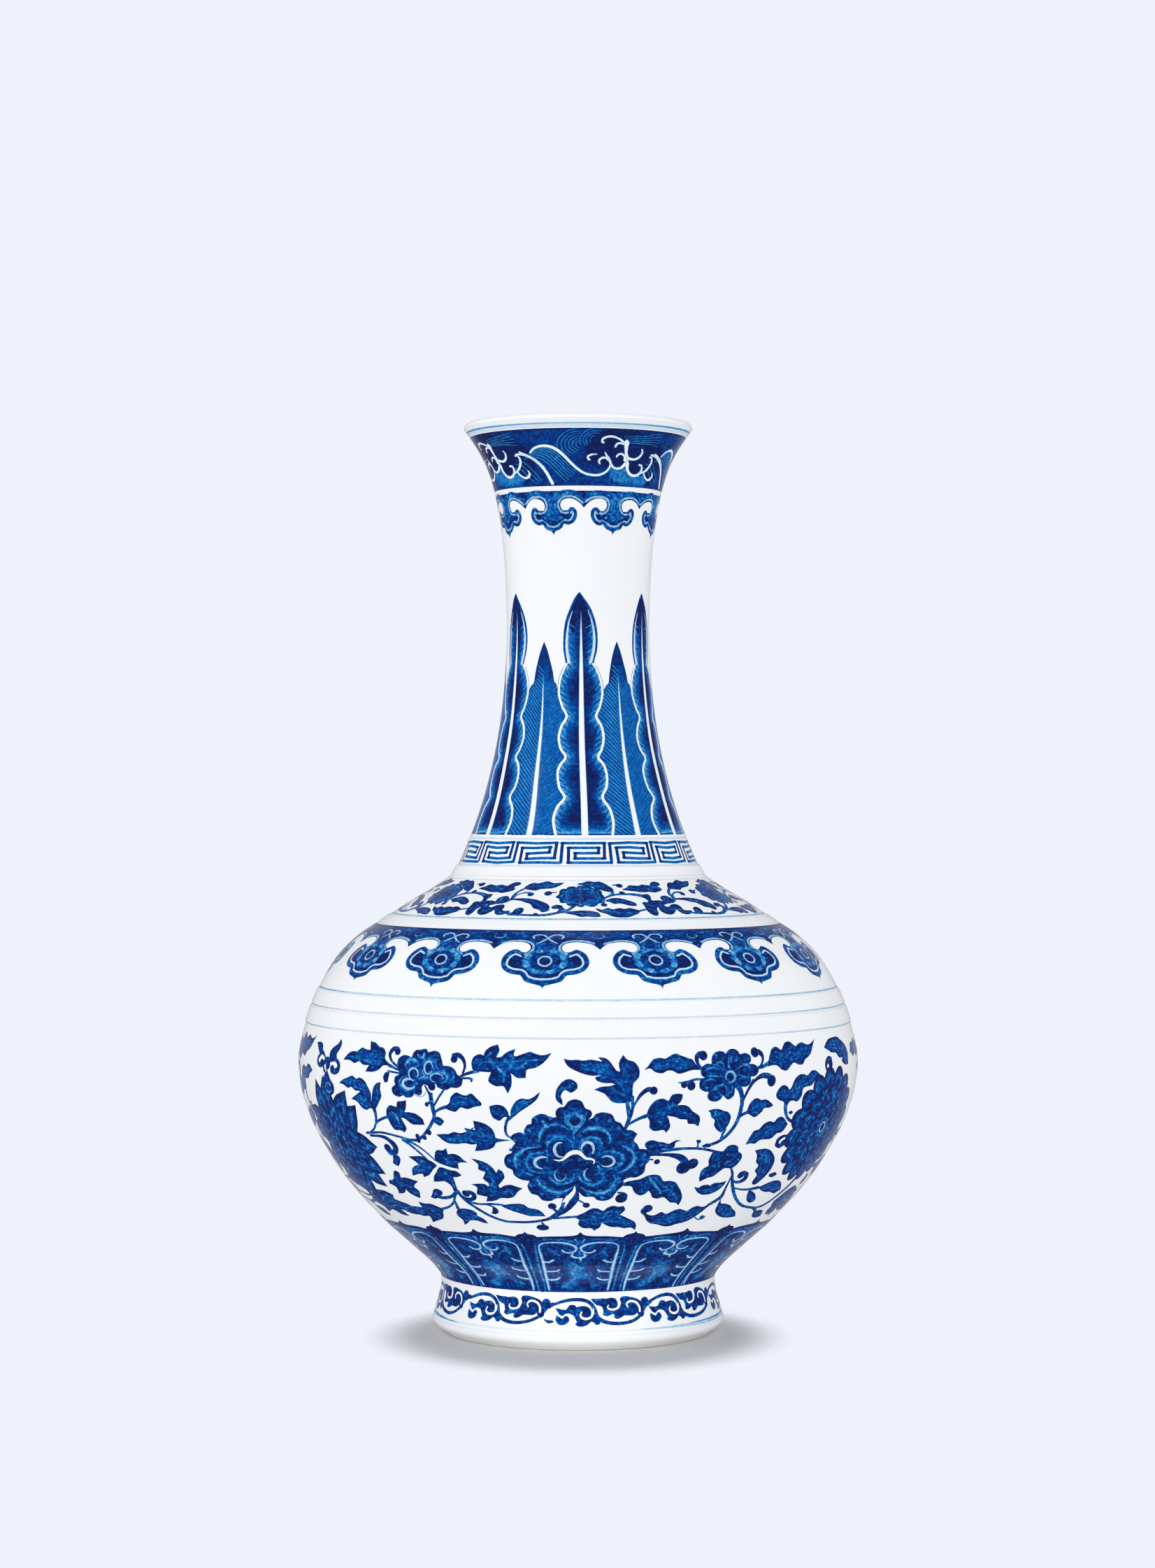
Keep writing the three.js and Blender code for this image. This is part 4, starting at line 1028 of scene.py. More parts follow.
def left_vines(p):
    """Vines between the peony and the lotus to its left"""
    p.stroke(pairs(-28.4, 91, -29.8, 88.5, -30.8, 85, -33, 81.8, -36.4, 79.6), (1.4, 1.2, 1.2, 1.6), WASH)
    p.stroke(pairs(-30.5, 85, -30.6, 81), (1, 1.6), WASH)
    p.stroke(pairs(-26.8, 85.6, -24, 84.5, -21, 85, -18, 84.6), (1.2, 1, 1), WASH)
    p.stroke(pairs(-29.4, 90.5, -30.6, 88.2, -32.6, 86.9, -34.5, 86.9, -36.2, 88), (1, 1.8, 1.6, 1), DEEP)
    p.curl(pairs(-28.3, 90.6, -28, 88.2, -26.6, 86.8, -25, 87.6, -24.7, 89.8, -25.8, 91, -26.6, 90),
        (1, 2, 2.2, 1.6), 1.7)
    p.stroke(pairs(-33.2, 105.2, -34.8, 109, -36.8, 112.8, -38.6, 115.2), (0.6, 1, 1.2), MID)
    p.stroke(pairs(-31.6, 106.2, -33.2, 109.8, -35.2, 113, -37.6, 115), (0.6, 0.8, 1), MID)
    p.stroke(pairs(-29.6, 139.5, -29.6, 134, -29.4, 129.5, -29.3, 126.5, -30.2, 123.4, -31.6, 120,
        -33.4, 116.8, -35, 115.4, -37.5, 115.2), (2, 1.9, 1.5, 1.3, 1.3), WASH)
    p.stroke(pairs(-30.8, 139, -30, 136, -29.4, 133), (0.8, 0.8), WASH)
    p.stroke(pairs(-29.2, 130.6, -28.4, 133, -27.4, 135.8, -26.4, 138.4), (0.8, 0.9), WASH)
    p.curl(pairs(-29.6, 131.5, -30.2, 132.2, -30.7, 131.4), (1, 1.1), 0.9)
    p.stroke(pairs(-29.3, 128, -28, 129.6, -26.4, 130.8), (1, 1.4), WASH)
    p.leaf(pairs(-29.9, 124.6, -29.2, 126.2, -28, 126.2, -27.2, 124.6, -28.2, 122.6, -29.2, 123.3), veins=1)
    for x, y, r in ((-31.3, 119.3, 1.3), (-32.7, 116.9, 1.2), (-34.3, 117.2, 1.2), (-34.4, 115.2, 1.1)):
        p.dot(x, y, r)
    p.stroke(pairs(-49, 116.6, -46, 117.3, -43.5, 117.5, -40, 116.6, -36.5, 115.3), (1.2, 1, 0.9, 1), WASH)
    p.curl(pairs(-48, 115.6, -45, 115.8, -43.2, 115.1, -41.9, 113.2, -41.4, 111, -42, 108.8, -43.4, 108.4,
        -43.8, 110.3), (1, 1.2, 2, 3.2, 2.8), 2)
    p.leaf(pairs(-41.8, 107.4, -41.2, 105.8, -41.9, 103.4, -42.9, 101.6, -44.1, 103, -43.6, 104.8,
        -43.2, 107), veins=1)
    p.stroke(pairs(-47.4, 117.4, -46, 119, -45, 121.4, -43.4, 123.4, -41, 125), (0.9, 1.2, 1.2), WASH)
    p.stroke(pairs(-45.2, 121, -44.6, 123.4, -44.4, 126, -44.6, 129), (0.8, 1.6, 2.2), WASH)
    p.stroke(pairs(-36.8, 143.4, -38.6, 143.7, -39.8, 144.1), (0.7, 0.8), WASH)
    p.leaf(pairs(-39.4, 143.6, -39.6, 141.8, -40, 139.6, -40.8, 139.4, -41.1, 141.6, -40.4, 143.6), veins=0)
    p.curl(pairs(-37.2, 145.8, -39, 148, -39.8, 150.8, -39.1, 153, -38, 153.4, -37.9, 152.2),
        (0.8, 1.1, 1.8, 1.8), 1.5)
    p.curl(pairs(-22.6, 144.6, -22.2, 147.2, -22.6, 150, -23.7, 151.8, -24.8, 151.6, -24.6, 150.2),
        (0.8, 1.2, 2, 2), 1.5)
    p.stroke(pairs(-23, 143.4, -21.4, 144.8, -19.4, 145.8), (1, 1.4), WASH)
    p.stroke(pairs(-22.6, 142.6, -21.4, 142.8, -20.6, 142.4, -20.8, 141.6), (0.8, 0.9), WASH)
    p.stroke(pairs(-40, 146.5, -38.4, 145.6, -37, 144.6), (1.3, 0.9), WASH)
    p.stroke(pairs(-22.6, 84.6, -21.2, 84, -20.2, 82.4), (0.8, 1), WASH)
    p.leaf(pairs(-20.9, 83, -20, 82.8, -19.6, 80.6, -20.6, 79, -21.8, 79.4, -21.2, 80.8), veins=0)


def left_leaves(p):
    """Leaves between the peony and the lotus to its left"""
    p.leaf(pairs(-53.6, 147, -52.3, 149.6, -50.8, 150.9, -49.5, 150.9, -48, 152.7, -46.5, 152, -45.4, 152,
        -45.8, 155.6, -44.2, 155.1, -43, 153.6, -41.8, 153.2, -41, 151.4, -40.9, 149, -39.8, 147.2,
        -38, 146, -41, 146.2, -42.2, 144.5, -43.8, 143.3, -46.2, 143.1, -45.2, 145.8, -46.4, 145.7,
        -47.2, 145.9, -48.3, 147, -49.8, 146.1, -51.3, 147.1))
    p.leaf(pairs(-20.4, 146, -20.9, 149, -20.5, 151.4, -19.5, 152.5, -18.5, 152, -18.2, 154, -17.2, 155.6,
        -15.8, 156.6, -15.4, 154.2, -15.9, 151.4, -15, 151.6, -13.8, 153.6, -12.2, 155, -12.5, 152.8,
        -12.1, 151.9, -10.6, 153, -9.3, 153.8, -8, 152.9, -6.7, 152.5, -5.1, 153.5, -5.8, 151.4,
        -6.8, 149.2, -8.2, 147.4, -9.8, 146.6, -10, 143.4, -11.6, 143.4, -12.9, 145.2, -12.7, 143,
        -12.8, 140, -13.5, 137, -14.3, 139.9, -15.8, 139.9, -17.2, 141.5, -17.2, 143.5, -16.8, 145.3,
        -18.5, 145.5), veins=1)
    for line in (pairs(-19.4, 149.6, -16.4, 149.2, -13, 149.8, -9, 150.6), pairs(-18.2, 151, -16.8, 153.6),
            pairs(-15.8, 147.6, -14.4, 145, -14.2, 141.6), pairs(-13.4, 148.2, -11.6, 146.2),
            pairs(-12.4, 151, -13, 153)):
        p.stroke(line, (0.3, 1, 0.3), LIGHT + 0.08)
    p.leaf(pairs(-27, 130.4, -25.6, 132.5, -25.2, 135, -24, 136.9, -22.8, 136, -21.8, 135.8, -20.8, 136.7,
        -19.9, 135, -18.9, 133, -19, 131.8, -20.3, 131.3, -21.8, 130.2, -23.2, 130.8, -24.4, 129,
        -25.6, 129.3))
    p.leaf(pairs(-41.3, 125.6, -40.9, 128.5, -39.8, 130, -38.2, 129.5, -37.8, 131.8, -36.8, 132,
        -35.6, 132.6, -35.8, 129.5, -36.4, 127.5, -35, 127.6, -33.5, 127, -32.2, 125, -31.9, 122.6,
        -33.5, 122.5, -35, 122.5, -36.6, 124.8, -37.5, 124.9, -36.9, 122, -36.7, 120.2, -37.5, 118.4,
        -38.4, 119.4, -39.9, 119.4, -40.6, 121.2, -41, 123.6), veins=1)
    p.stroke(pairs(-39.8, 127.4, -38.6, 125.2, -38.4, 122), (0.3, 1.3, 0.4), LIGHT)
    p.leaf(pairs(-55, 137.3, -53.4, 139, -51.8, 139.9, -50.3, 140.9, -49, 139.8, -47.8, 140.4, -46.4, 139.2,
        -45.6, 137, -44.8, 134, -45.2, 130, -48, 134.6, -49.5, 134.8, -50.8, 136.2, -52, 135.6,
        -53.4, 136.8))
    p.leaf(pairs(-44.4, 134.5, -43.9, 137, -42.9, 138.8, -41.8, 139.2, -42.1, 136.5, -41.9, 133.5,
        -43, 130.5, -43.8, 128.4, -44.6, 127.2, -45, 130.6), veins=1)
    p.leaf(pairs(-51.3, 131.2, -49.6, 132.9, -48.2, 134.4, -46.4, 133.8, -45, 131, -44.6, 127.8, -45.8, 128,
        -46.8, 127.1, -48.2, 127.8, -49.4, 130.2))
    p.leaf(pairs(-31.6, 106, -31.2, 109.5, -30.4, 111.3, -29, 111.4, -28, 112.6, -28, 109.6, -26.5, 110,
        -25.2, 108.8, -24.6, 107.2, -23.7, 106, -25.5, 106, -26.2, 105, -26.3, 102.6, -28, 103.2,
        -30, 104.4), veins=1)
    p.leaf(pairs(-31, 103, -28.5, 101.8, -27.1, 101.4, -26.1, 99.6, -27.3, 98.5, -28.4, 98.3, -28.4, 95,
        -28.5, 91, -29.6, 91, -29.6, 93, -30.2, 94.8, -31.2, 95.9, -32.5, 95.5, -34.1, 95.2, -33.5, 98,
        -32.5, 100), veins=1)
    p.leaf(pairs(-31.6, 103.6, -33, 101.6, -33.9, 100, -34.8, 98.4, -36.4, 97.2, -36.4, 99, -37.8, 98.6,
        -39.6, 97.4, -39, 100.8, -37.6, 102.8, -36.5, 103.3, -37, 104.8, -38.6, 107.2, -36.8, 107.6,
        -35, 107.8, -33.6, 106.6, -32.2, 105))
    p.leaf(pairs(-37.2, 86.6, -36.2, 88.4, -35.4, 90.6, -34.2, 91.5, -33, 90.4, -33.2, 88.8, -34.2, 87.4,
        -36, 85.8), veins=1)
    p.leaf(pairs(-22.8, 108.2, -21.3, 107.6, -19.6, 106.3, -18.3, 104, -17.8, 101.6, -17.1, 103.6,
        -16.3, 102.2, -16.1, 99.5, -17, 97, -17.9, 95.2, -17.6, 93.8, -16.5, 95.2, -15, 95.7, -13.7, 94.8,
        -12.4, 94, -13.6, 92.3, -14.8, 89.5, -16.3, 88.5, -18, 88.5, -19.8, 86.8, -22, 86.2, -21.3, 88.8,
        -22.3, 89.2, -23.7, 90, -23.4, 92.3, -23.2, 93.8, -24.4, 95.2, -22.8, 95.6, -21.3, 95.7,
        -20.3, 94.4, -20.1, 96, -21.1, 98.3, -20.6, 100.3, -20.3, 101.8, -21.7, 103, -21.5, 105.5), veins=1)
    p.stroke(pairs(-19.2, 99.5, -19, 95, -19.6, 91), (0.2, 1.1, 0.3), MID - 0.08)
    p.stroke(pairs(-17.6, 91.6, -15.6, 92.6), (0.3, 0.9, 0.3), MID - 0.08)
    p.leaf(pairs(-49.3, 91.8, -48.6, 93.6, -47, 94, -46.2, 96, -45.4, 98.4, -44.6, 99.2, -43.6, 98.2,
        -43.9, 95.8, -42, 96, -40.6, 95.4, -38.8, 94.6, -40.2, 93, -41, 91.4, -40, 89.4, -40.4, 87,
        -40.9, 85.2, -42.4, 86.2, -43.6, 87.6, -44.3, 89.6, -45, 88, -46.2, 87, -47.8, 86.6, -47.4, 88.8,
        -47.6, 90.4), veins=1)
    p.leaf(pairs(-18.8, 84.4, -16.8, 85, -15, 85.6, -13, 85.4, -11.8, 83.4, -10, 82.8, -8.7, 81, -8, 78.6,
        -10, 78.7, -12, 78.6, -14, 80, -15.5, 80.9, -17.2, 82.4))
    p.leaf(pairs(-28, 81.2, -26.8, 80.8, -25.8, 79, -26, 77.5, -24.6, 75.8, -23.8, 72.8, -25.2, 73.2,
        -26.5, 74.2, -27.8, 74.4, -29, 74, -29.6, 72.8, -31.4, 70.8, -31, 74, -31.9, 76.5, -31.6, 79,
        -30.5, 80.8, -29.2, 81.3))
    p.leaf(pairs(-50.4, 82.4, -49, 81.5, -47.5, 81, -46, 79.8, -44, 80, -42.3, 79.8, -42.4, 83.2,
        -40.5, 82.3, -38.5, 82.6, -37, 81.5, -35.2, 80, -36, 78, -36.5, 76, -37.5, 73.8, -39.5, 72.5,
        -42.2, 70.6, -41.8, 74.5, -44, 74.2, -46, 75, -47.8, 76, -48.8, 78, -49.5, 80))
    p.leaf(pairs(-65, 79.6, -62.6, 82.6, -60.4, 85.4, -57.4, 86.8, -53.6, 87, -55.4, 83.4, -53.4, 81.6,
        -50.8, 80.6, -53, 78.4, -51.4, 75, -50.6, 72.6, -54, 73.2, -56.6, 75.4, -58.6, 74.4, -60.4, 73.6,
        -61, 76.4, -63, 77.8))
    p.stroke(pairs(-70, 83, -67, 82, -63.4, 82.4, -59, 84.5), (1, 1.2, 1), WASH)


def right_vines(p):
    """Vines between the peony and the lotus to its right"""
    p.stroke(pairs(13, 112.4, 15.6, 111.8, 18, 112.4, 21.5, 112.9, 25, 112.7, 28, 111.6, 30.4, 110.2),
        (2.2, 1.4, 1.1, 1.2), WASH)
    p.curl(pairs(13.4, 110.4, 16.4, 110.5, 19.2, 110.2, 21.6, 108.8, 22.9, 106.4, 22.9, 103.8),
        (1.2, 1, 1.6, 3.2, 4.2), 3.1)
    p.dot(24.8, 105.4, 2.6)
    p.stroke(pairs(14.6, 108.4, 15.6, 108.2), (0.6, 0.8), MID)
    p.dot(16.6, 107.1, 1.3)
    p.stroke(pairs(31.4, 140, 32.8, 137.6, 33.5, 134, 33.6, 130, 33.2, 124.6, 32.3, 120.6, 31, 117.4,
        29.2, 115, 26.5, 113.4), (2.6, 1.9, 1.6, 1.4, 1.2), WASH)
    p.stroke(pairs(33.6, 131.4, 34.3, 135, 35.3, 138.4, 36, 141), (0.9, 1.2, 1), WASH)
    p.curl(pairs(34.8, 136.6, 36.2, 140.2, 38.2, 142.3, 40.1, 141.8, 40.7, 140), (0.8, 1.2, 2.2, 2.6), 2.3)
    p.stroke(pairs(32.9, 124.4, 34, 126.6, 35.8, 128), (0.9, 1.6), WASH)
    p.stroke(pairs(30.4, 121, 30.2, 118.4, 30, 116), (2, 1, 0.9), WASH)
    p.leaf(pairs(24.4, 116.4, 25, 116.8, 25.6, 116, 25.2, 114.8, 24.8, 114.8), veins=0)
    p.stroke(pairs(25, 115.4, 25, 112.8), (0.7, 0.8), WASH)
    p.leaf(pairs(25.8, 113.6, 26.4, 114.4, 27.2, 114.8, 28.2, 113.8, 27.6, 112.9), veins=0)
    p.stroke(pairs(34.8, 102.7, 35.9, 99.6, 36.8, 95.6, 38, 91.6, 40, 86.8, 43, 82.2, 46, 79.6, 50, 78,
        52.4, 77.6, 55.4, 79, 58.2, 82.8, 61, 88, 62.6, 93), (1, 1.8, 1.6, 1.4, 1.3, 1.4, 1.8), WASH)
    p.stroke(pairs(50, 78, 52.4, 76, 54, 73.6), (1.4, 2, 1.4), WASH)
    p.curl(pairs(36.6, 95.8, 38, 94.4, 39.4, 94.4, 40.5, 95.8, 40.5, 98, 39.4, 98.9, 38.8, 98),
        (1, 1.6, 2.4, 2.2), 1.8)
    p.stroke(pairs(36.2, 99.5, 36, 95, 35.9, 91, 35.8, 87, 34.4, 84.4, 33, 82.6), (0.7, 0.9, 1.8, 1.4),
        WASH)
    p.stroke(pairs(38.2, 91.4, 41, 90, 44, 89.6, 47, 90), (0.9, 1.1, 1.8), WASH)
    p.curl(pairs(48.6, 115.4, 47.2, 115.3, 46, 113.8, 46, 111.6, 47.2, 110.8, 48, 112), (0.8, 1.6, 2.2, 2),
        1.6)
    p.stroke(pairs(45.4, 131, 45.5, 127.8, 46.6, 124, 48.4, 121.8, 50.2, 120.8), (2.4, 1.8, 1.4, 1.4), WASH)
    p.leaf(pairs(46.6, 126.2, 47.6, 126.6, 48.2, 125.8, 47.4, 125), veins=0)
    p.curl(pairs(59.8, 140.6, 58.9, 142, 58.6, 144.4, 59.6, 146, 60.8, 145.8, 60.6, 144.4), (1, 1.6, 3, 3),
        1.9)
    p.stroke(pairs(37, 145.6, 38.6, 146, 40.4, 147.4), (1.2, 1.8), WASH)
    p.curl(pairs(37.8, 146, 38.6, 148, 38.7, 150.4, 37.9, 152, 36.9, 151.9), (0.8, 1.2, 2, 2.2), 2)
    p.curl(pairs(24.4, 146.4, 23.6, 148.4, 23.5, 151, 24.2, 152.3, 24.9, 151.6), (0.8, 1.4, 2, 2.4), 1.9)
    p.stroke(pairs(24.6, 142, 23, 142.2, 21.6, 141.4, 20, 140.9), (0.9, 1), WASH)
    for x, y, r in (
            (22.1, 139.7, 1.9), (20.6, 140.2, 1.4), (9.9, 88.9, 2.5), (16.8, 82.6, 2.2), (33.1, 75.7, 1)):
        p.dot(x, y, r)
    p.stroke(pairs(21, 140.6, 19.9, 141, 19.4, 141.2), (1, 0.3), WASH)
    p.stroke(pairs(9, 92, 10.4, 91.4, 11, 90), (1, 1.4), WASH)
    p.stroke(pairs(31, 75.8, 32.2, 74.3, 33.6, 74.6, 34, 75.8), (0.8, 0.9), MID)
    p.leaf(pairs(48.2, 96.6, 50, 97.4, 51.4, 96, 50, 94.8, 48.6, 95.4), veins=0)


def right_leaves(p):
    """Leaves between the peony and the lotus to its right"""
    p.leaf(pairs(12.6, 146.5, 13.5, 148, 14.5, 150.5, 15.8, 151.2, 17, 150.8, 18.3, 152.2, 19.3, 152.7,
        20.3, 151.8, 21.5, 151, 22.6, 150, 23.3, 147.8, 24.6, 145.8, 22.5, 146, 21, 145.2, 19.5, 144.7,
        18.3, 145.9, 17.2, 146, 16.2, 145, 14.8, 145.6, 13.9, 147))
    p.leaf(pairs(35.3, 130, 36, 132.3, 37.2, 133.3, 38.4, 132.3, 39.6, 132.5, 41, 131, 41.8, 129.7,
        40.8, 128.9, 39.4, 128.8, 38.9, 127.2, 37.4, 125.3, 36.4, 126, 35.2, 127.6))
    p.leaf(pairs(26, 129.2, 27.3, 129.8, 28.6, 129.6, 29.5, 128.8, 30.6, 128.2, 31.4, 126, 31.1, 122.6,
        30.3, 120.5, 29.7, 119.5, 28.5, 121, 27.8, 123, 27.8, 125, 26.9, 126.5, 26.6, 128.3))
    p.leaf(pairs(10, 97, 11.5, 98, 13.5, 98.7, 15, 100.3, 16.8, 100.8, 18, 99.8, 19, 97.3, 20.5, 97.3,
        22, 96.3, 23, 94, 24, 91.4, 24.8, 87.8, 24.6, 83.8, 23.5, 85.3, 22, 85.8, 20.8, 87.8, 19.9, 88.8,
        18.5, 88.1, 17.2, 89, 16.7, 91, 16, 92.6, 15.2, 90.7, 14, 90.3, 12.7, 92, 11.8, 95, 10, 95.4),
        veins=0)
    p.stroke(pairs(15.4, 100, 16.2, 97.6, 17.4, 95, 18.6, 92.4, 19, 90.8), (0.5, 1.8, 1.2, 0.4),
        LIGHT + 0.06)
    p.stroke(pairs(16.6, 99.6, 18.2, 96.6, 19.8, 94.2, 21.4, 92), (0.4, 0.9, 0.3), MID)
    p.stroke(pairs(13.8, 97.6, 14.6, 94.6, 14.6, 92), (0.3, 1, 0.3), MID)
    p.stroke(pairs(20.4, 93.6, 22, 90.4, 23.4, 87.4), (0.3, 1.1, 0.3), MID)
    p.leaf(pairs(27, 93.4, 28.2, 92.9, 29, 94, 30.5, 94.2, 31, 93.4, 32, 94.8, 33.8, 94.8, 35.2, 95.6,
        35, 93.5, 34, 91, 32.5, 89.3, 30.5, 88.8, 28.8, 89.8, 27.8, 91.5), veins=1)
    p.leaf(pairs(0, 79.5, 1.5, 81, 3, 83.2, 4.5, 83.5, 6, 82, 7, 83.9, 8.3, 84.8, 9.5, 84.2, 10.8, 84.6,
        11.3, 82.5, 10.8, 80.8, 10.2, 79.5, 11.5, 78.3, 13, 76.5, 14.3, 75, 15.1, 72.6, 15.2, 69.6,
        13.8, 71.3, 12, 71, 10.5, 71.8, 8.5, 72, 6.8, 73.6, 6, 75, 5.6, 72, 4.2, 69.7, 3.4, 71.3, 1.2, 71.5,
        0, 74, 0.3, 76.5, -0.6, 78))
    p.leaf(pairs(15.2, 81.5, 15.8, 83.6, 17, 84.3, 18.1, 82.6, 17, 81.2, 17.1, 79.4, 18.5, 78.4, 19.6, 79,
        20.7, 80.3, 22.2, 79, 23.6, 80.6, 25.2, 81.6, 26.6, 80.7, 27.7, 80.2, 28.8, 82, 30, 82.7, 31.2, 82,
        32.5, 82.3, 34.6, 85, 33.2, 81.5, 32, 78.5, 30.8, 76, 29.5, 74, 28, 72.8, 26.5, 72.3, 25, 71.3,
        23.5, 71, 22, 71.8, 20.5, 72.8, 18.8, 73.5, 17.4, 75.6, 16.6, 78.2, 15.6, 79.9))
    p.leaf(pairs(35.9, 87, 36.8, 83.2, 38.5, 82.6, 40.5, 81.2, 42, 79, 44, 76.8, 45.4, 73.6, 43, 73.4,
        40.5, 74, 38, 76, 36.3, 79, 36.1, 82.5))
    p.leaf(pairs(36.7, 113, 37.2, 116, 38, 119, 39.3, 119.7, 40.2, 121.8, 41.7, 122.9, 43, 122.3, 43.8, 124,
        45, 124.4, 46.2, 123, 47.4, 120.8, 46.8, 118.5, 46, 117.2, 44.8, 117, 43.6, 115, 42.2, 114.7,
        40.5, 114.8, 39.3, 113.2, 38, 113.5))
    p.leaf(pairs(40, 109.8, 42, 110.3, 44, 109.8, 46, 107.5, 47.5, 104.5, 48, 101, 47.6, 97.5, 46.4, 94,
        44.8, 91.8, 43.5, 93.5, 43.9, 97, 42.6, 99.4, 42.9, 102, 41.7, 104, 41.2, 107.2))
    p.leaf(pairs(46.8, 90, 49, 91.5, 51.5, 92.6, 54, 92.2, 56, 90.2, 57.7, 86.6, 55.5, 85, 53, 86.4,
        51, 86.7, 49, 87.8))
    p.leaf(pairs(43.8, 89.4, 46, 87.7, 47.9, 85.2, 48.7, 82.7, 47.8, 81.4, 46, 82.3, 44.6, 85), veins=1)
    p.leaf(pairs(58.8, 79.4, 60.6, 82.6, 63, 85.8, 66, 87, 69, 85, 68.2, 82.4, 70.6, 81.4, 72.8, 79,
        74.6, 74.8, 71.4, 74.6, 68.4, 76.4, 65.6, 75.2, 62.4, 76), edge=0.5)
    p.leaf(pairs(52.2, 74.8, 54.6, 75.6, 57.2, 74.6, 58.4, 71, 55.6, 70.6, 53.4, 72), veins=1)


def far_right_leaves(p):
    """Leaves above the lotus to the peony's right"""
    p.leaf(pairs(39.8, 145.8, 40.5, 149.8, 41.5, 152.8, 42.8, 153.6, 44.1, 152, 44.7, 153.3, 45.5, 155,
        47, 155.3, 48.5, 153.2, 49.6, 154.1, 51, 154.5, 52.5, 153.4, 54, 153.8, 55.6, 155.4, 54.6, 153,
        53.3, 149.8, 52, 148.2, 51, 147.5, 50, 145.6, 48.6, 145.6, 47.3, 146.6, 46.3, 145.6, 45, 143.7,
        43.5, 144.2, 42.3, 146, 41, 146.2))
    p.leaf(pairs(42.2, 134, 43, 136.8, 44.2, 137.8, 45.3, 137, 46, 135.6, 46.6, 136.8, 47.3, 139.5,
        48.7, 141.4, 50.2, 141.5, 51.5, 140.9, 53, 142.6, 54.5, 142.3, 56.2, 140.5, 54.5, 139, 53, 136.5,
        51, 136.2, 50.2, 135.4, 50, 132.5, 48.8, 130.4, 47.4, 131, 46.4, 130.6, 45.8, 129, 45.2, 129,
        44.6, 130.8, 43, 132))
    p.repeat(0, 180)
    p.leaf(pairs(58.8, 151.4, 61, 154.2, 63, 154.9, 66, 154.9, 68, 153.2, 70, 151, 71, 147.6, 70.5, 142.6,
        68, 143, 66.4, 144.6, 67, 146, 65, 146.4, 63.8, 148.4, 61.6, 148.9))


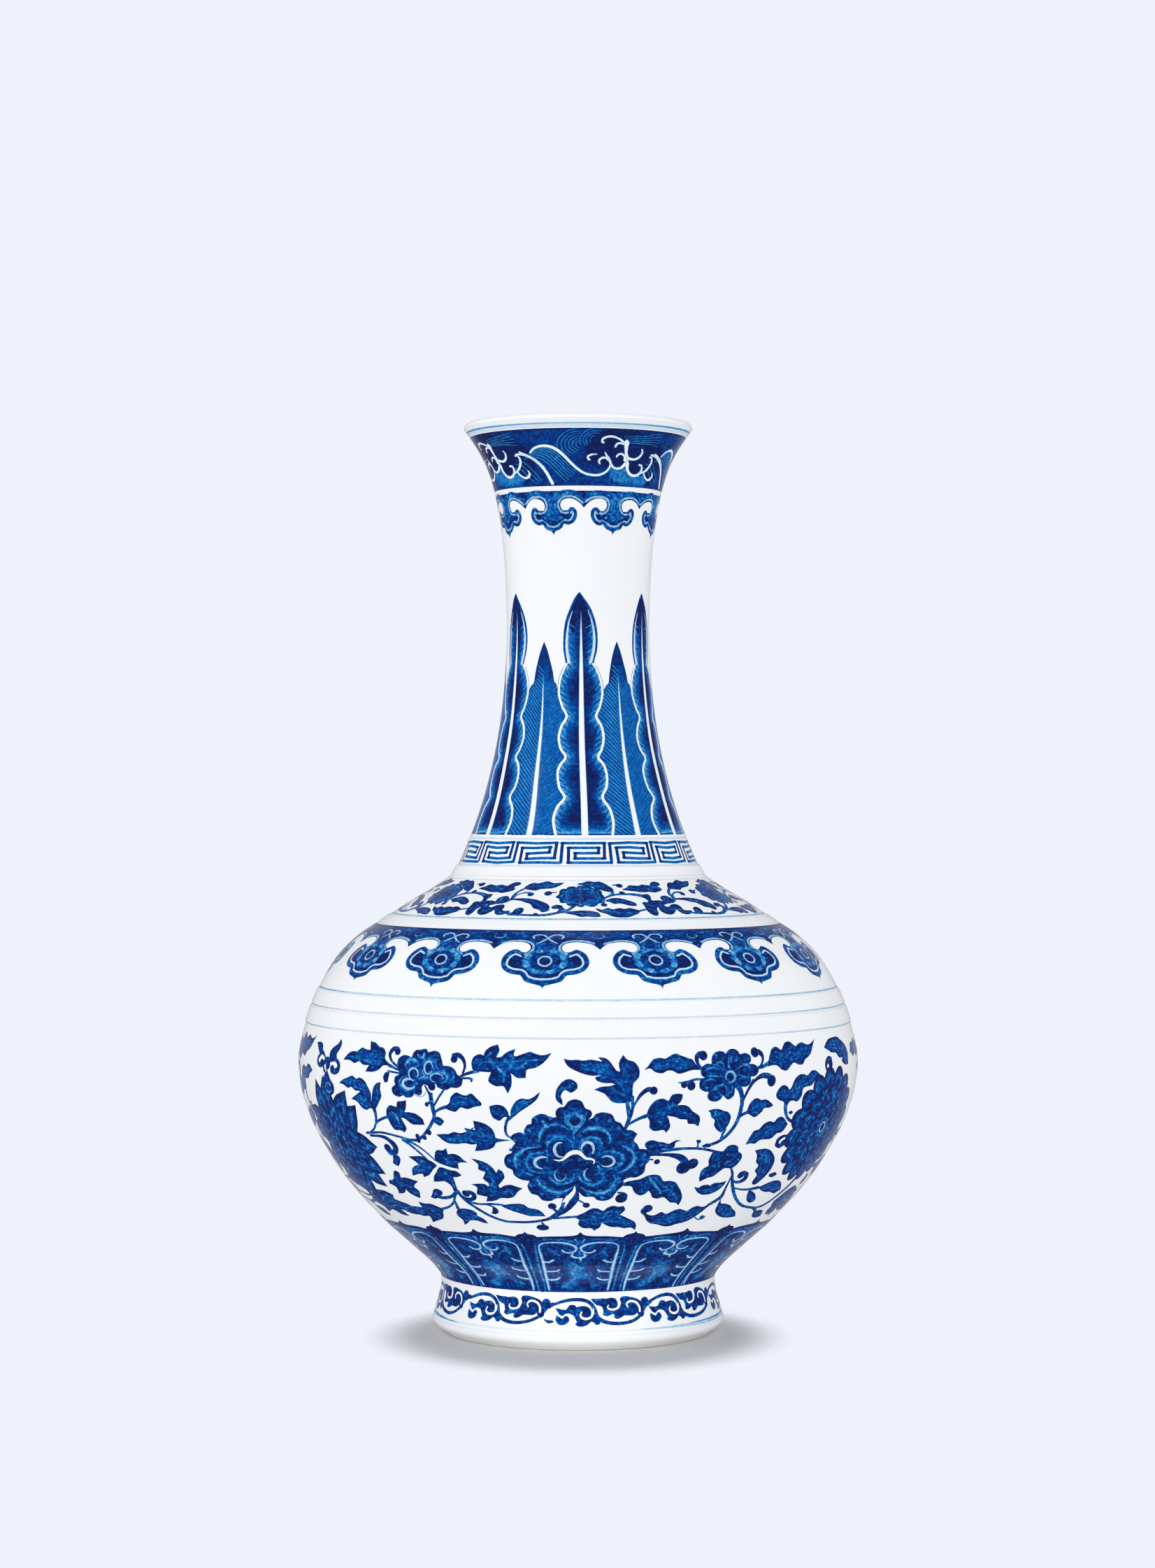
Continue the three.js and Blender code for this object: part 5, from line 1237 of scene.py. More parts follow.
def right_blossom(p):
    """The small flower right of the front, its petals parted by lighter lines"""
    p.fill(pairs(24.2, 146, 24.7, 147.4, 25.6, 148.2, 26.6, 148, 26.7, 150.2, 27.3, 152.2, 28.3, 153,
        29.4, 152.8, 30, 151.8, 30.4, 152.9, 31.2, 153.7, 32.2, 153.6, 32.9, 152.6, 33.3, 151.4,
        34.6, 151.8, 35.6, 150.7, 35.7, 148.8, 35.1, 147.3, 36.3, 147.1, 37.2, 145.8, 37.3, 144,
        36.5, 142.5, 35.4, 142.3, 35.4, 140.4, 34.8, 138.8, 33.8, 138.3, 32.7, 138.9, 32, 140.4,
        31.6, 138.4, 31.6, 135.6, 31, 134, 30.1, 133.6, 29.4, 134.8, 29, 135.3, 28.4, 133.6, 27.2, 132.9,
        26.1, 133.6, 25.6, 135.2, 25.9, 137, 25, 137.2, 24, 138.4, 23.8, 140.4, 24.2, 142.2, 24.9, 142.8,
        24.2, 144), DARK, soft=True)
    for x, y, wide, high in (
            (28.3, 150, 2.4, 2.2), (31.6, 150.6, 2.4, 2.4), (34.2, 149, 2.4, 1.8), (26.2, 145.4, 3, 2),
            (25.6, 140.2, 2.6, 2.4), (27.6, 136.2, 2.8, 2.2), (30.5, 137, 1.5, 2.6), (33.8, 141, 2.4, 2),
            (35, 145, 3, 1.8)):
        p.fill(p.arc(x, y, wide, high, 0, 330), WASH)
        p.fill(p.arc(x + 0.1, y - 0.1, wide * 0.5, high * 0.5, 0, 330), DARK)
    for points, width in (
            (pairs(30.5, 145, 30.3, 148, 30.6, 151), 0.6),
            (pairs(29.3, 145, 28, 147.2, 26.8, 148), 0.5),
            (pairs(29, 142.6, 27, 143.2, 25, 143), 0.5),
            (pairs(29.6, 140.6, 28, 138.6, 26.2, 137.2), 0.5),
            (pairs(31, 139.8, 31, 137, 29.6, 135.2), 0.5),
            (pairs(32.2, 143.6, 34, 142.4, 35.4, 142.4), 0.5),
            (pairs(31.8, 145.4, 33.4, 146.8, 35, 147.3), 0.5),
            (pairs(27.4, 147.6, 28.4, 148.6, 29.2, 147.8, 29.2, 146.4), 0.8),
            (pairs(24.9, 145.4, 26, 146.5, 27.6, 146.4, 28.4, 145.2), 0.7),
            (pairs(25, 141.2, 26.2, 142, 27.4, 141.4), 0.6),
            (pairs(26.6, 137.6, 27.4, 138.8, 28.8, 139.6, 29.4, 141), 0.8),
            (pairs(29.4, 139.4, 29.8, 137.6, 29.6, 136.2), 0.6),
            (pairs(32.6, 141.4, 33.4, 142.4, 34.6, 142, 35, 140.8), 0.6),
            (pairs(33, 147.6, 34.4, 147.2, 35.2, 146, 35.2, 144.4), 0.6),
            (pairs(31, 148, 31.1, 150, 31.8, 151.6), 0.6)):
        glow(p, points, width * 0.8, LIGHT + 0.06)
    p.dot(30.6, 142.6, 3.4, WASH)
    eye(p, 30.6, 142.6, 1.3, 1.3, 250, 320, 0.8, PALE + 0.08)
    p.fill(pairs(29, 110.4, 29.9, 111, 31.4, 110.6, 32.3, 112.9, 33.6, 113.4, 34.9, 112.3, 35.4, 110,
        36.6, 108.5, 36.9, 106, 36, 103, 34.9, 102, 33.2, 102.2, 32, 100.4, 31, 98.5, 29.5, 97.8,
        27.9, 96.1, 27.5, 98, 27.4, 101, 28, 103, 28.9, 103.8, 28.5, 106.5, 28.7, 108.8), DARK, soft=True)
    for x, y, wide, high in (
            (33.3, 110.2, 3, 2.7), (34.6, 106, 3.6, 3.2), (30.4, 108.2, 2.6, 2.4), (29.7, 101.4, 3.6, 3)):
        p.fill(p.arc(x, y, wide, high, 0, 330), WASH)
        p.fill(p.arc(x, y, wide * 0.6, high * 0.6, 0, 330), DEEP)
    glow(p, pairs(33.6, 105.2, 32.6, 107.4, 33, 109.2), 0.8)
    glow(p, pairs(31.2, 104.6, 31.8, 102.8), 0.8)
    p.dot(32.8, 107, 1.7, DARK)


def left_blossom(p):
    """The flower left of the front, with five ringed eyes"""
    p.fill(pairs(-37.6, 147.6, -37.4, 149.3, -36.4, 150.7, -35.2, 150.7, -34.2, 149.9, -34, 151.8,
        -33.3, 153.2, -32.2, 153.3, -31.6, 153.8, -30.9, 153.6, -30.6, 152.5, -29.8, 152.8, -29, 153.2,
        -28, 152.5, -27.5, 150.6, -27.1, 148.6, -26.9, 147.3, -26.2, 147.3, -25, 146.9, -24.1, 145.4,
        -23.8, 144.2, -22.8, 142.8, -22.6, 141.4, -23, 139.5, -24, 138.7, -25, 138.9, -26, 137.8,
        -27.2, 138.1, -28.2, 138.9, -28.6, 136.9, -29.6, 137.2, -30, 138.8, -31, 139.6, -31.6, 138.2,
        -31.6, 136, -32.4, 134.8, -33.4, 135.3, -34, 134.2, -35.4, 133.8, -36.2, 134.6, -37.2, 133.9,
        -38.4, 134.5, -38.9, 136, -38.8, 137.5, -38, 138.7, -38.2, 140.3, -37.9, 141.9, -37, 142.9,
        -36.8, 143.5, -37.2, 144.6, -37.5, 146), DARK, soft=True)
    p.fill(pairs(-36, 148, -34.6, 148.8, -32.4, 151.4, -30.8, 150.4, -29.4, 151, -28.2, 149.4, -28, 146.8,
        -26, 145.8, -24.8, 144, -24, 141, -26, 139.8, -29, 140.4, -32, 140.2, -33, 137, -35, 135.6,
        -37.4, 137, -36.8, 141, -35.4, 144), WASH)
    for points, width, ink in (
            (pairs(-35.6, 146.6, -35, 148.6, -34, 149.4, -33, 148.8, -32.4, 147.2), 0.9, LIGHT),
            (pairs(-33, 151.6, -32.2, 150.2, -31.5, 150.8, -31.4, 152.4), 1, LIGHT),
            (pairs(-31.6, 147.4, -31, 149, -29.8, 149.6, -28.5, 148, -28, 145.6), 0.8, LIGHT + 0.08),
            (pairs(-28.6, 144.8, -27.2, 144.8, -26, 143.4, -26, 141.6, -27, 140.4), 0.9, LIGHT),
            (pairs(-24.8, 145.2, -24.4, 143, -24.6, 140.6), 0.5, LIGHT + 0.1),
            (pairs(-36.4, 141.8, -36.9, 139.8, -36.3, 138, -34.8, 137, -33.2, 138), 1, LIGHT),
            (pairs(-32.4, 141.4, -31, 142.6, -29.8, 142), 0.8, LIGHT),
            (pairs(-31.2, 145.8, -31.4, 144.2, -30.6, 143), 0.7, LIGHT)):
        glow(p, points, width, ink)
    for turn, rise, wide, high, start, sweep, width, ink in (
            (-33.5, 143.5, 1.5, 1.5, -40, 300, 0.7, PALE), (-30.1, 146.3, 1.1, 1.7, 0, 330, 0.7, PALE),
            (-34.6, 139.4, 2.1, 1, 40, 300, 1.0, PALE - 0.04),
            (-28.2, 142.4, 2.2, 1, -20, 280, 0.6, PALE + 0.08),
            (-29.2, 138.7, 1.1, 1.1, 200, 200, 0.8, BARE)):
        eye(p, turn, rise, wide, high, start, sweep, width, ink)
    p.stroke(pairs(-32.6, 134.9, -33.6, 135.4, -31.9, 134.4, -31, 135.4, -30.6, 137.2),
        (0.2, 0.8, 0.8, 0.3), PALE)


def round_lotus(p, turn, rise):
    """A full lotus of round petals in three rows"""
    for reach, long, wide, count, start in (
            (19.2, 7.4, 5.4, 16, 8), (13, 6.4, 4.7, 13, 0), (7.6, 5, 4, 9, 12)):
        for k in range(count):
            a = math.radians(start + 360 * k / count)
            out, side = np.array([math.cos(a) * 1.06, math.sin(a)]), np.array([-math.sin(a), math.cos(a)])

            def petal(size, shift):
                t = np.linspace(0, 2 * math.pi, 15)[:-1]
                oval = long * np.outer(np.cos(t), out) + wide * np.outer(np.sin(t), side)
                return placed(p, turn, rise, (reach + shift) * out + size * oval)

            for size, shift, ink in (
                    (1, 0, DARK), (0.8, -0.3, WASH), (0.56, -0.6, MID - 0.06), (0.46, -0.6, DEEP)):
                p.fill(petal(size, shift), ink)
    for radius, ink in ((4.4, MID - 0.1), (3.6, DEEP), (2.6, PALE), (1.9, DARK)):
        p.fill(p.arc(turn, rise, radius, radius, 0, 330), ink)


def pointed_lotus(p, turn, rise):
    """A full lotus of long pointed petals in three rows"""
    for reach, root, wide, count, start in (
            (29, 8, 5.6, 13, 6), (20.5, 5, 4.6, 11, 20), (12.5, 2, 3.6, 8, 0)):
        for k in range(count):
            a = math.radians(start + 360 * k / count)
            out, side = np.array([math.cos(a) * 0.92, math.sin(a)]), np.array([-math.sin(a), math.cos(a)])

            def petal(size):
                bend = 0.16 if k % 2 else -0.16
                shape = pairs(0, -0.4, 0.35, -1, 0.7, -0.8, 0.9, -0.3, 1.02, 0, 0.9, 0.3, 0.7, 0.8, 0.35, 1,
                    0, 0.4)
                at = root + (reach - root) * (0.42 + (shape[:, 0] - 0.42) * size)
                swing = wide * (shape[:, 1] * size + bend * 3 * shape[:, 0] ** 2)
                return placed(p, turn, rise, np.outer(at, out) + np.outer(swing, side))

            for size, ink in ((1, DARK), (0.78, WASH), (0.5, MID - 0.08), (0.36, DEEP)):
                p.fill(petal(size), ink)
    for radius, ink in ((4.6, MID), (3.4, DARK)):
        p.fill(p.arc(turn, rise, radius, radius, 0, 330), ink)
    p.leaf(pairs(-62.2, 136, -61.6, 139, -59.6, 141.6, -58.6, 138.2, -57.4, 136, -57.6, 132.8, -60, 131,
        -62, 133), veins=0)
    p.stroke(p.arc(-59.8, 134.6, 2.6, 2, 20, 300), 0.7, LIGHT)
    p.stroke(pairs(-59.9, 141, -60.2, 143.6, -59.8, 145), (1, 1.2), WASH)
    p.curl(pairs(-60, 144.6, -58.4, 145.8, -56.6, 146.6, -55.2, 145, -55.4, 142.6, -56.8, 141.6,
        -57.6, 142.4), (0.8, 1.4, 2.4, 2.6), 1.8)
    p.leaf(pairs(-59.2, 146, -59.3, 149.2, -58.2, 151.6, -56.6, 153.2, -55.9, 155.4, -55.2, 153.6,
        -55.6, 151, -56.4, 149, -56.2, 147, -57.4, 145.6), veins=1)
    p.stroke(pairs(-60.1, 145, -61.4, 147.6, -63, 148.8), (0.9, 1.4), WASH)
    p.leaf(pairs(-66.6, 152.6, -64.6, 152.9, -63.2, 152, -62.7, 150, -61.6, 148.8, -63.4, 147.6,
        -64.8, 149.2), veins=1)
    p.curl(pairs(-63.4, 148, -64.4, 146.4, -64.3, 144.2, -63, 143.4, -62.4, 144.4), (1.2, 1.8, 2), 1.7)


def eye(p, turn, rise, wide, high, start, sweep, width, ink):
    """A dark oval with a light line round it"""
    around_it = p.arc(turn, rise, wide + 0.5 + width / 2, high + 0.5 + width / 2, start, sweep, 14)
    p.stroke(around_it, (width * 0.3, width, width * 1.2, width, width * 0.3), ink)
    p.dot(turn, rise, wide, DARK, high)


def glow(p, points, width, ink=LIGHT):
    """A light line in a paler wash, as where the cobalt thins out between two dark edges"""
    p.stroke(points, (width * 0.6, width * 1.7, width * 1.9, width * 1.7, width * 0.6), MID + 0.04)
    p.stroke(points, (width * 0.2, width * 0.7, width * 0.9, width * 0.7, width * 0.2), ink)


def peony(p):
    """The full peony at the front: six ringed petals round a dark heart"""
    rim = pairs(-13.6, 118.3, -12.9, 120, -11.6, 120.9, -10.6, 120.4, -10.6, 122, -9.9, 124.2, -9.1, 124.7,
        -8.9, 127, -7.5, 128.8, -6.3, 128.7, -5.4, 127.4, -4.2, 127.6, -4.3, 130, -3.6, 131.6, -2.6, 132,
        -1.8, 134.2, -0.5, 135, 0.7, 134, 1.3, 131.4, 2.4, 130.4, 2.6, 128.6, 2, 126.6, 2.9, 127.4,
        3.5, 129, 4.9, 129.6, 6.5, 128.6, 7.2, 126, 8.3, 125, 9.3, 122.2, 10.6, 121.8, 11.7, 120.2,
        11.1, 117.4, 12, 115.4, 12.4, 113.6, 14, 112.8, 14.9, 110.6, 14.8, 107.4, 14.2, 105.8, 14.1, 102,
        12.6, 99.8, 11.2, 99.7, 9.9, 98.4, 10, 96, 9, 93.6, 8.3, 91.4, 7.6, 89, 6, 87.7, 4.4, 88.2, 3.4, 90,
        1.6, 90, 0.6, 91.4, -0.5, 94.6, -1.6, 91, -3, 89.4, -5, 89, -6.4, 87.6, -8.2, 88, -9.1, 90.4,
        -10.6, 91.6, -11.2, 95, -10.6, 98, -12.4, 98.6, -13.8, 100.8, -14, 103.2, -15.2, 104.8,
        -15.5, 107.6, -14.8, 110.4, -13.6, 111.6, -13.4, 114, -12.6, 116)
    p.fill(rim, DARK, soft=True)
    line = p.outline(rim)
    p.add(p.gather(inset(line, 1.3)), DEEP)
    p.fill(pairs(-13.2, 108, -12.6, 112, -10.4, 116, -9.6, 121, -7.6, 125.6, -4.4, 124.8, -1, 122, 3, 124.6,
        6.6, 123.4, 8.6, 118.4, 11.4, 114, 12.6, 109, 11.8, 104, 9.6, 101, 8.6, 95, 6.4, 90.4, 3, 91.2,
        -0.6, 95, -3.6, 91.2, -7, 90.6, -9.2, 95, -10.4, 100.4, -12.6, 103.6), DEEP - 0.06)
    for points, width, ink in (
            (pairs(-13, 104.6, -13.2, 107.6, -12.8, 110.4, -11.6, 112.4, -9.8, 114, -8.2, 114.4), 1.3,
            LIGHT),
            (pairs(-12.2, 103.4, -11, 101.6, -9.6, 100.8), 0.7, LIGHT + 0.08),
            (pairs(-7.9, 117, -7.6, 119.6, -7.1, 121.8, -6.4, 123.8, -7, 126), 1.4, LIGHT),
            (pairs(-6.6, 122.4, -5.6, 124, -4.2, 124.6, -2.8, 123.8, -1.8, 122), 0.8, LIGHT),
            (pairs(0.5, 119.6, 1.2, 121.8, 2.7, 123, 4.4, 122.9, 5.6, 121.4, 6.3, 119, 6.5, 116.4), 1.3,
            LIGHT),
            (pairs(8.8, 115.2, 10.2, 113.8, 11.1, 112, 11.6, 109.6, 11.5, 107, 10.8, 104.8, 9.6, 103,
            8.2, 102), 1.3, LIGHT),
            (pairs(0.6, 95, 1.8, 93.2, 3.6, 92, 5.6, 91.8, 6.9, 93.6, 7.7, 96.2, 8.1, 99, 7.6, 101), 1.2,
            LIGHT),
            (pairs(-8.9, 99.4, -8.5, 97, -7.4, 94.6, -6, 92.8, -4.2, 92.2, -2.6, 93.4, -1.2, 95.2), 1.3,
            LIGHT),
            (pairs(-6, 110.6, -6.4, 113, -6.2, 115.6, -5.2, 118, -3.8, 119.3, -2.4, 118.7, -1.4, 117,
            -1, 114.6), 0.9, LIGHT + 0.06),
            (pairs(0.3, 112.4, 0.3, 115.4, 1, 117.8, 2.4, 119, 3.8, 118.4, 4.6, 116.6, 4.6, 114.2), 0.9,
            LIGHT + 0.06),
            (pairs(-6.2, 102.4, -7.8, 102, -9.6, 102.8, -10.6, 104.8, -10.8, 107.4, -10.2, 110, -8.8, 111.6,
            -7, 112.1), 0.9, LIGHT + 0.06),
            (pairs(4.2, 110.8, 5.2, 112.3, 7, 112.6, 8.6, 111.3, 9.3, 109, 9, 106.4, 7.8, 104.7,
            6.2, 103.9), 0.9, LIGHT + 0.06),
            (pairs(-5.9, 102.4, -6, 99.6, -5, 97.4, -3.4, 96.6, -1.8, 97.6, -1, 99.8, -0.9, 102.2), 0.8,
            LIGHT + 0.06),
            (pairs(0.2, 102.4, 0.4, 99.4, 1.5, 97.2, 3.2, 96.4, 4.8, 97.4, 5.5, 99.8, 5.3, 102.4), 0.8,
            LIGHT + 0.06)):
        glow(p, points, width, ink)
    for points in (
            pairs(-11.8, 105, -11.7, 108.6, -10.6, 112.4, -8.4, 113.3, -6.6, 114, -7, 117.4, -6, 121.4,
            -4.2, 122.6, -2.4, 121.6, -0.6, 119),
            pairs(-0.6, 119, 0, 121.8, 1.4, 119.8, 3, 121, 4.6, 120.6, 5.4, 118, 5.4, 114.6, 7, 114.2,
            9, 113.2, 10.2, 110.4, 10.2, 106.6, 8.8, 103.8),
            pairs(6.2, 102.4, 6.8, 99.4, 6, 95.8, 4, 93.8, 2, 94.6, 0, 98, -1.8, 95.4, -4, 94.2, -6, 95.6,
            -7.2, 99, -6.8, 101.2, -9.4, 101)):
        p.stroke(points, (0.6, 1.3, 1.3, 1.3, 0.6), DARK)
    for turn, rise, way, reach in (
            (-14, 107.6, 175, 1.6), (-13.4, 112.6, 150, 1.4), (-12.4, 117, 135, 1.4),
            (-9.6, 121.6, 140, 1.6), (-8, 126.4, 110, 1.8), (-5.4, 126.6, 80, 1.4), (3.8, 126.6, 100, 2),
            (6, 126, 60, 1.6), (7.6, 122.4, 40, 1.6), (9.6, 119.8, 40, 1.4), (11, 115, 30, 1.4),
            (13.2, 110, 10, 1.6), (13.2, 106, 0, 1.4), (12, 102.4, -30, 1.4), (9.2, 98, -10, 1.2),
            (8, 93.8, -40, 1.4), (5.6, 90, -85, 1.4), (2.4, 91.6, -100, 1), (-4.6, 90.6, -90, 1.2),
            (-8, 91.2, -120, 1.4), (-10, 95.4, 190, 1.4), (-12.2, 101, 210, 1.6)):
        for shift in (-28, 0, 28):
            a = math.radians(way + shift)
            far = rise + reach * math.sin(a)
            p.stroke([(turn, rise), (turn + math.degrees(reach * math.cos(a) / float(p.wall.at("r", far))),
                far)], (0.7, 0.3), MID, smooth=False)
    crown = p.outline(pairs(-4, 127.8, -4.2, 130, -3.6, 131.5, -2.6, 132, -1.8, 134.1,
        -0.5, 134.9, 0.7, 133.9, 1.3, 131.4, 2.3, 130.4, 2.5, 128.6, 1.9, 126.6, 0.4, 123, -0.6, 120,
        -1.6, 123.4))
    p.add(p.gather(crown), DARK)
    p.add(p.gather(inset(crown, 1.1)), DEEP)
    p.fill(pairs(-2.6, 125.4, -2.6, 128, -1.5, 129.2, -0.7, 129.6, 0.2, 129.2, 1.4, 127.8, 1.2, 125.2,
        -0.2, 122, -0.7, 120.6, -1.2, 122.4), LIGHT + 0.04)
    for x in (-2.9, -1.8, -0.7, 0.5, 1.7):
        p.stroke([(x * 0.8, 128.6), (x * 1.1, 131.2 - 0.2 * abs(x))], (0.9, 0.3), MID - 0.06)
    p.stroke(pairs(-1, 121, -0.8, 118, -0.9, 115.4), (0.8, 0.6, 0.3), LIGHT + 0.08)
    p.fill(pairs(-1.7, 126, -1.4, 127.6, -0.6, 128.2, 0.2, 127.6, 0.5, 126, 0, 124.6, -0.7, 124,
        -1.3, 124.7), DARK)
    p.fill(pairs(-5.6, 106.4, -4.4, 108.6, -2.9, 108.9, -2.2, 110.4, -0.7, 111.4, 0.6, 110.6, 1.5, 109,
        3, 108.6, 3.9, 106.4, 3.6, 104.6, 2, 103.4, 0.4, 103.6, -0.7, 102.8, -2, 103.6, -3.8, 103.2,
        -5.2, 104.4), DARK)
    for turn, rise, wide, high, start, sweep, width in (
            (-3.5, 113.3, 1.5, 2.3, -70, -215, 1.1), (1.9, 113.6, 1.4, 2.2, -40, 230, 1.1),
            (-7.2, 107, 2.5, 1.8, 60, 200, 1.1), (5.9, 107.8, 2.1, 1.6, 130, -260, 0.9),
            (-3.8, 101.2, 1.5, 2.2, 110, 250, 0.6), (2.6, 101.6, 1.7, 2.3, 110, 170, 0.7)):
        eye(p, turn, rise, wide, high, start, sweep, width, PALE - 0.03 if width > 0.8 else PALE + 0.08)
    for x, y in ((-3.7, 105.6), (-2.2, 107.6), (-0.7, 109), (0.9, 107.7), (2.4, 106.2)):
        p.stroke(p.arc(x, y, 1.5, 1.4, 20, 140, 6), 0.35, WASH)
    p.stroke(pairs(-4.9, 108.6, -3.9, 108.2, -3.1, 108.8, -2.5, 110, -1.8, 111.4, -0.7, 112.3, 0.3, 111.9,
        1, 110.4, 1.7, 109.2, 2.8, 109, 3.4, 107.8, 3.2, 106.8),
        (0.4, 0.8, 1.1, 1.7, 2, 1.9, 1.3, 1.1, 0.8, 0.4), BARE)
    p.stroke(pairs(4.1, 105.6, 4.6, 104.3), (0.9, 1.1, 0.4), LIGHT)
    p.stroke(pairs(-0.8, 95.6, -0.9, 93, -2, 89.8, -3.6, 86.8), (0.3, 1.6, 2.4, 0.4), BARE)


def paint_vase(wall):
    """All the painting, from the lip down"""
    p = Painting(wall)
    for draw, lift in (
            (wave_band, LIFT), (small_ruyi_border, LIFT), (banana_leaves, LIFT), (key_fret, LIFT),
            (shoulder_scroll, LIFT), (ruyi_collar, 0), (belly_lines, 0), (belly_scroll, 0), (lappets, 0),
            (foot_scroll, LIFT)):
        p.lift = lift
        draw(p)
    return p


def inked(marks, centres):
    """Index of the topmost mark at each place, or -1"""
    top = np.full(len(centres), -1)
    order = np.argsort(centres[:, 0])
    sorted_x = centres[order, 0]
    for index, (outline, *_) in enumerate(marks):
        lo, hi = outline.min(0), outline.max(0)
        first, last = np.searchsorted(sorted_x, (lo[0], hi[0]))
        near = order[first:last]
        near = near[(centres[near, 1] >= lo[1]) & (centres[near, 1] <= hi[1])]
        if not len(near):
            continue
        x, y = centres[near, 0][:, None], centres[near, 1][:, None]
        x0, y0 = outline[:, 0], outline[:, 1]
        x1, y1 = np.roll(x0, -1), np.roll(y0, -1)
        side = (x1 - x0) * (y - y0) - (x - x0) * (y1 - y0)
        winding = ((y0 <= y) & (y1 > y) & (side > 0)).sum(1) - ((y0 > y) & (y1 <= y) & (side < 0)).sum(1)
        top[near[winding > 0]] = index
    return top


def painted_skin(wall, painting, low, high, columns):
    """Triangles of the wall from rise low to rise high, split along every brush mark.

    Gives the points in degrees and rise, the triangles, the ink at their corners, the place of the corners
    along and across the brush's way with the mark's own number, and how grainy each triangle is.
    """
    scale = math.radians(1) * float(wall.at("r", (low + high) / 2))
    marks = []
    for outline, ink, way, grain in painting.marks:
        if outline[:, 1].max() < low or outline[:, 1].min() > high:
            continue
        for shift in (-360, 0, 360):
            moved = outline + (shift, 0)
            if moved[:, 0].max() > -180 and moved[:, 0].min() < 180:
                marks.append((thinned(moved * (scale, 1)), ink, way, grain))
    edge = 180 * scale
    turns = np.linspace(-edge, edge, columns + 1)
    rises = rows_of(wall, low, high)
    verts, edges = [], []

    def chain(points, closed):
        start = len(verts)
        verts.extend(points)
        count = len(points)
        edges.extend((start + i, start + i + 1) for i in range(count - 1))
        if closed:
            edges.append((start + count - 1, start))

    for outline, *_ in marks:
        inside = np.clip(divided(outline, RING_STEP * scale), (-edge - 40, low - 2), (edge + 40, high + 2))
        chain([tuple(v) for v in inside], True)
    for x in (-edge, edge):
        chain([(x, s) for s in rises], False)
    for s in (low, high):
        chain([(x, s) for x in turns], False)
    for s in rises[1:-1]:
        verts.extend((x, s) for x in turns[1:-1])
    points, _, faces, *_ = delaunay_2d_cdt([Vector(v) for v in verts], edges, [], 0, 1e-4, False)
    points = np.array([tuple(v) for v in points])
    faces = np.array(faces)
    centres = points[faces].mean(1)
    keep = (abs(centres[:, 0]) < edge) & (centres[:, 1] > low) & (centres[:, 1] < high)
    faces, centres = faces[keep], centres[keep]
    top = inked(marks, centres)
    ink = np.array([m[1] for m in marks] + [0.0])[top]
    ink = blended(faces, ink, len(points))
    way = np.array([m[2] for m in marks] + [0.0])[top][:, None]
    grain = np.array([m[3] for m in marks] + [0.0])[top]
    x, y = points[faces][..., 0], points[faces][..., 1]
    brush = np.stack([x * np.cos(way) + y * np.sin(way), y * np.cos(way) - x * np.sin(way),
                      np.repeat((top % 89)[:, None] * 7.3, 3, 1)], -1)
    return points / (scale, 1), faces, ink, brush, grain


def blended(faces, ink, count):
    """Ink at each corner: two blues that meet run into one another, but an edge against white is sharp"""
    blue = ink > MELT_FROM
    near = faces[blue].ravel()
    weight = np.bincount(near, minlength=count)
    mean = np.bincount(near, np.repeat(ink[blue], 3), count) / np.maximum(weight, 1)
    corners = np.repeat(ink[:, None], 3, 1)
    corners[blue] += (mean[faces[blue]] - corners[blue]) * MELT
    return corners


def divided(outline, longest):
    """The outline with points added where its sides are longer than that"""
    ahead = np.roll(outline, -1, 0)
    counts = np.maximum(1, np.ceil(abs(ahead[:, 0] - outline[:, 0]) / longest - 1e-3)).astype(int)
    if counts.max() == 1:
        return outline
    sides = zip(outline, ahead, counts)
    return np.concatenate([a + (b - a) * (np.arange(n) / n)[:, None] for a, b, n in sides])


def rows_of(wall, low, high):
    """Rises at which the wall has a row of vertices, closer together at the edges of the ribs"""
    count = max(2, int((high - low) / ROW_PITCH))
    rows = list(np.linspace(low, high, count + 1))
    for rib_low, rib_high, _ in RIBS:
        for z in (rib_low, rib_high):
            inward = 1 if z == rib_low else -1
            for share in (0, 0.25, 0.5, 0.75, 1):
                rise = wall.rise_at(z + inward * share * RIB_EDGE)
                if low + 0.1 < rise < high - 0.1:
                    rows = [r for r in rows if abs(r - rise) > 0.06 or r in (low, high)] + [rise]
    return sorted(rows)


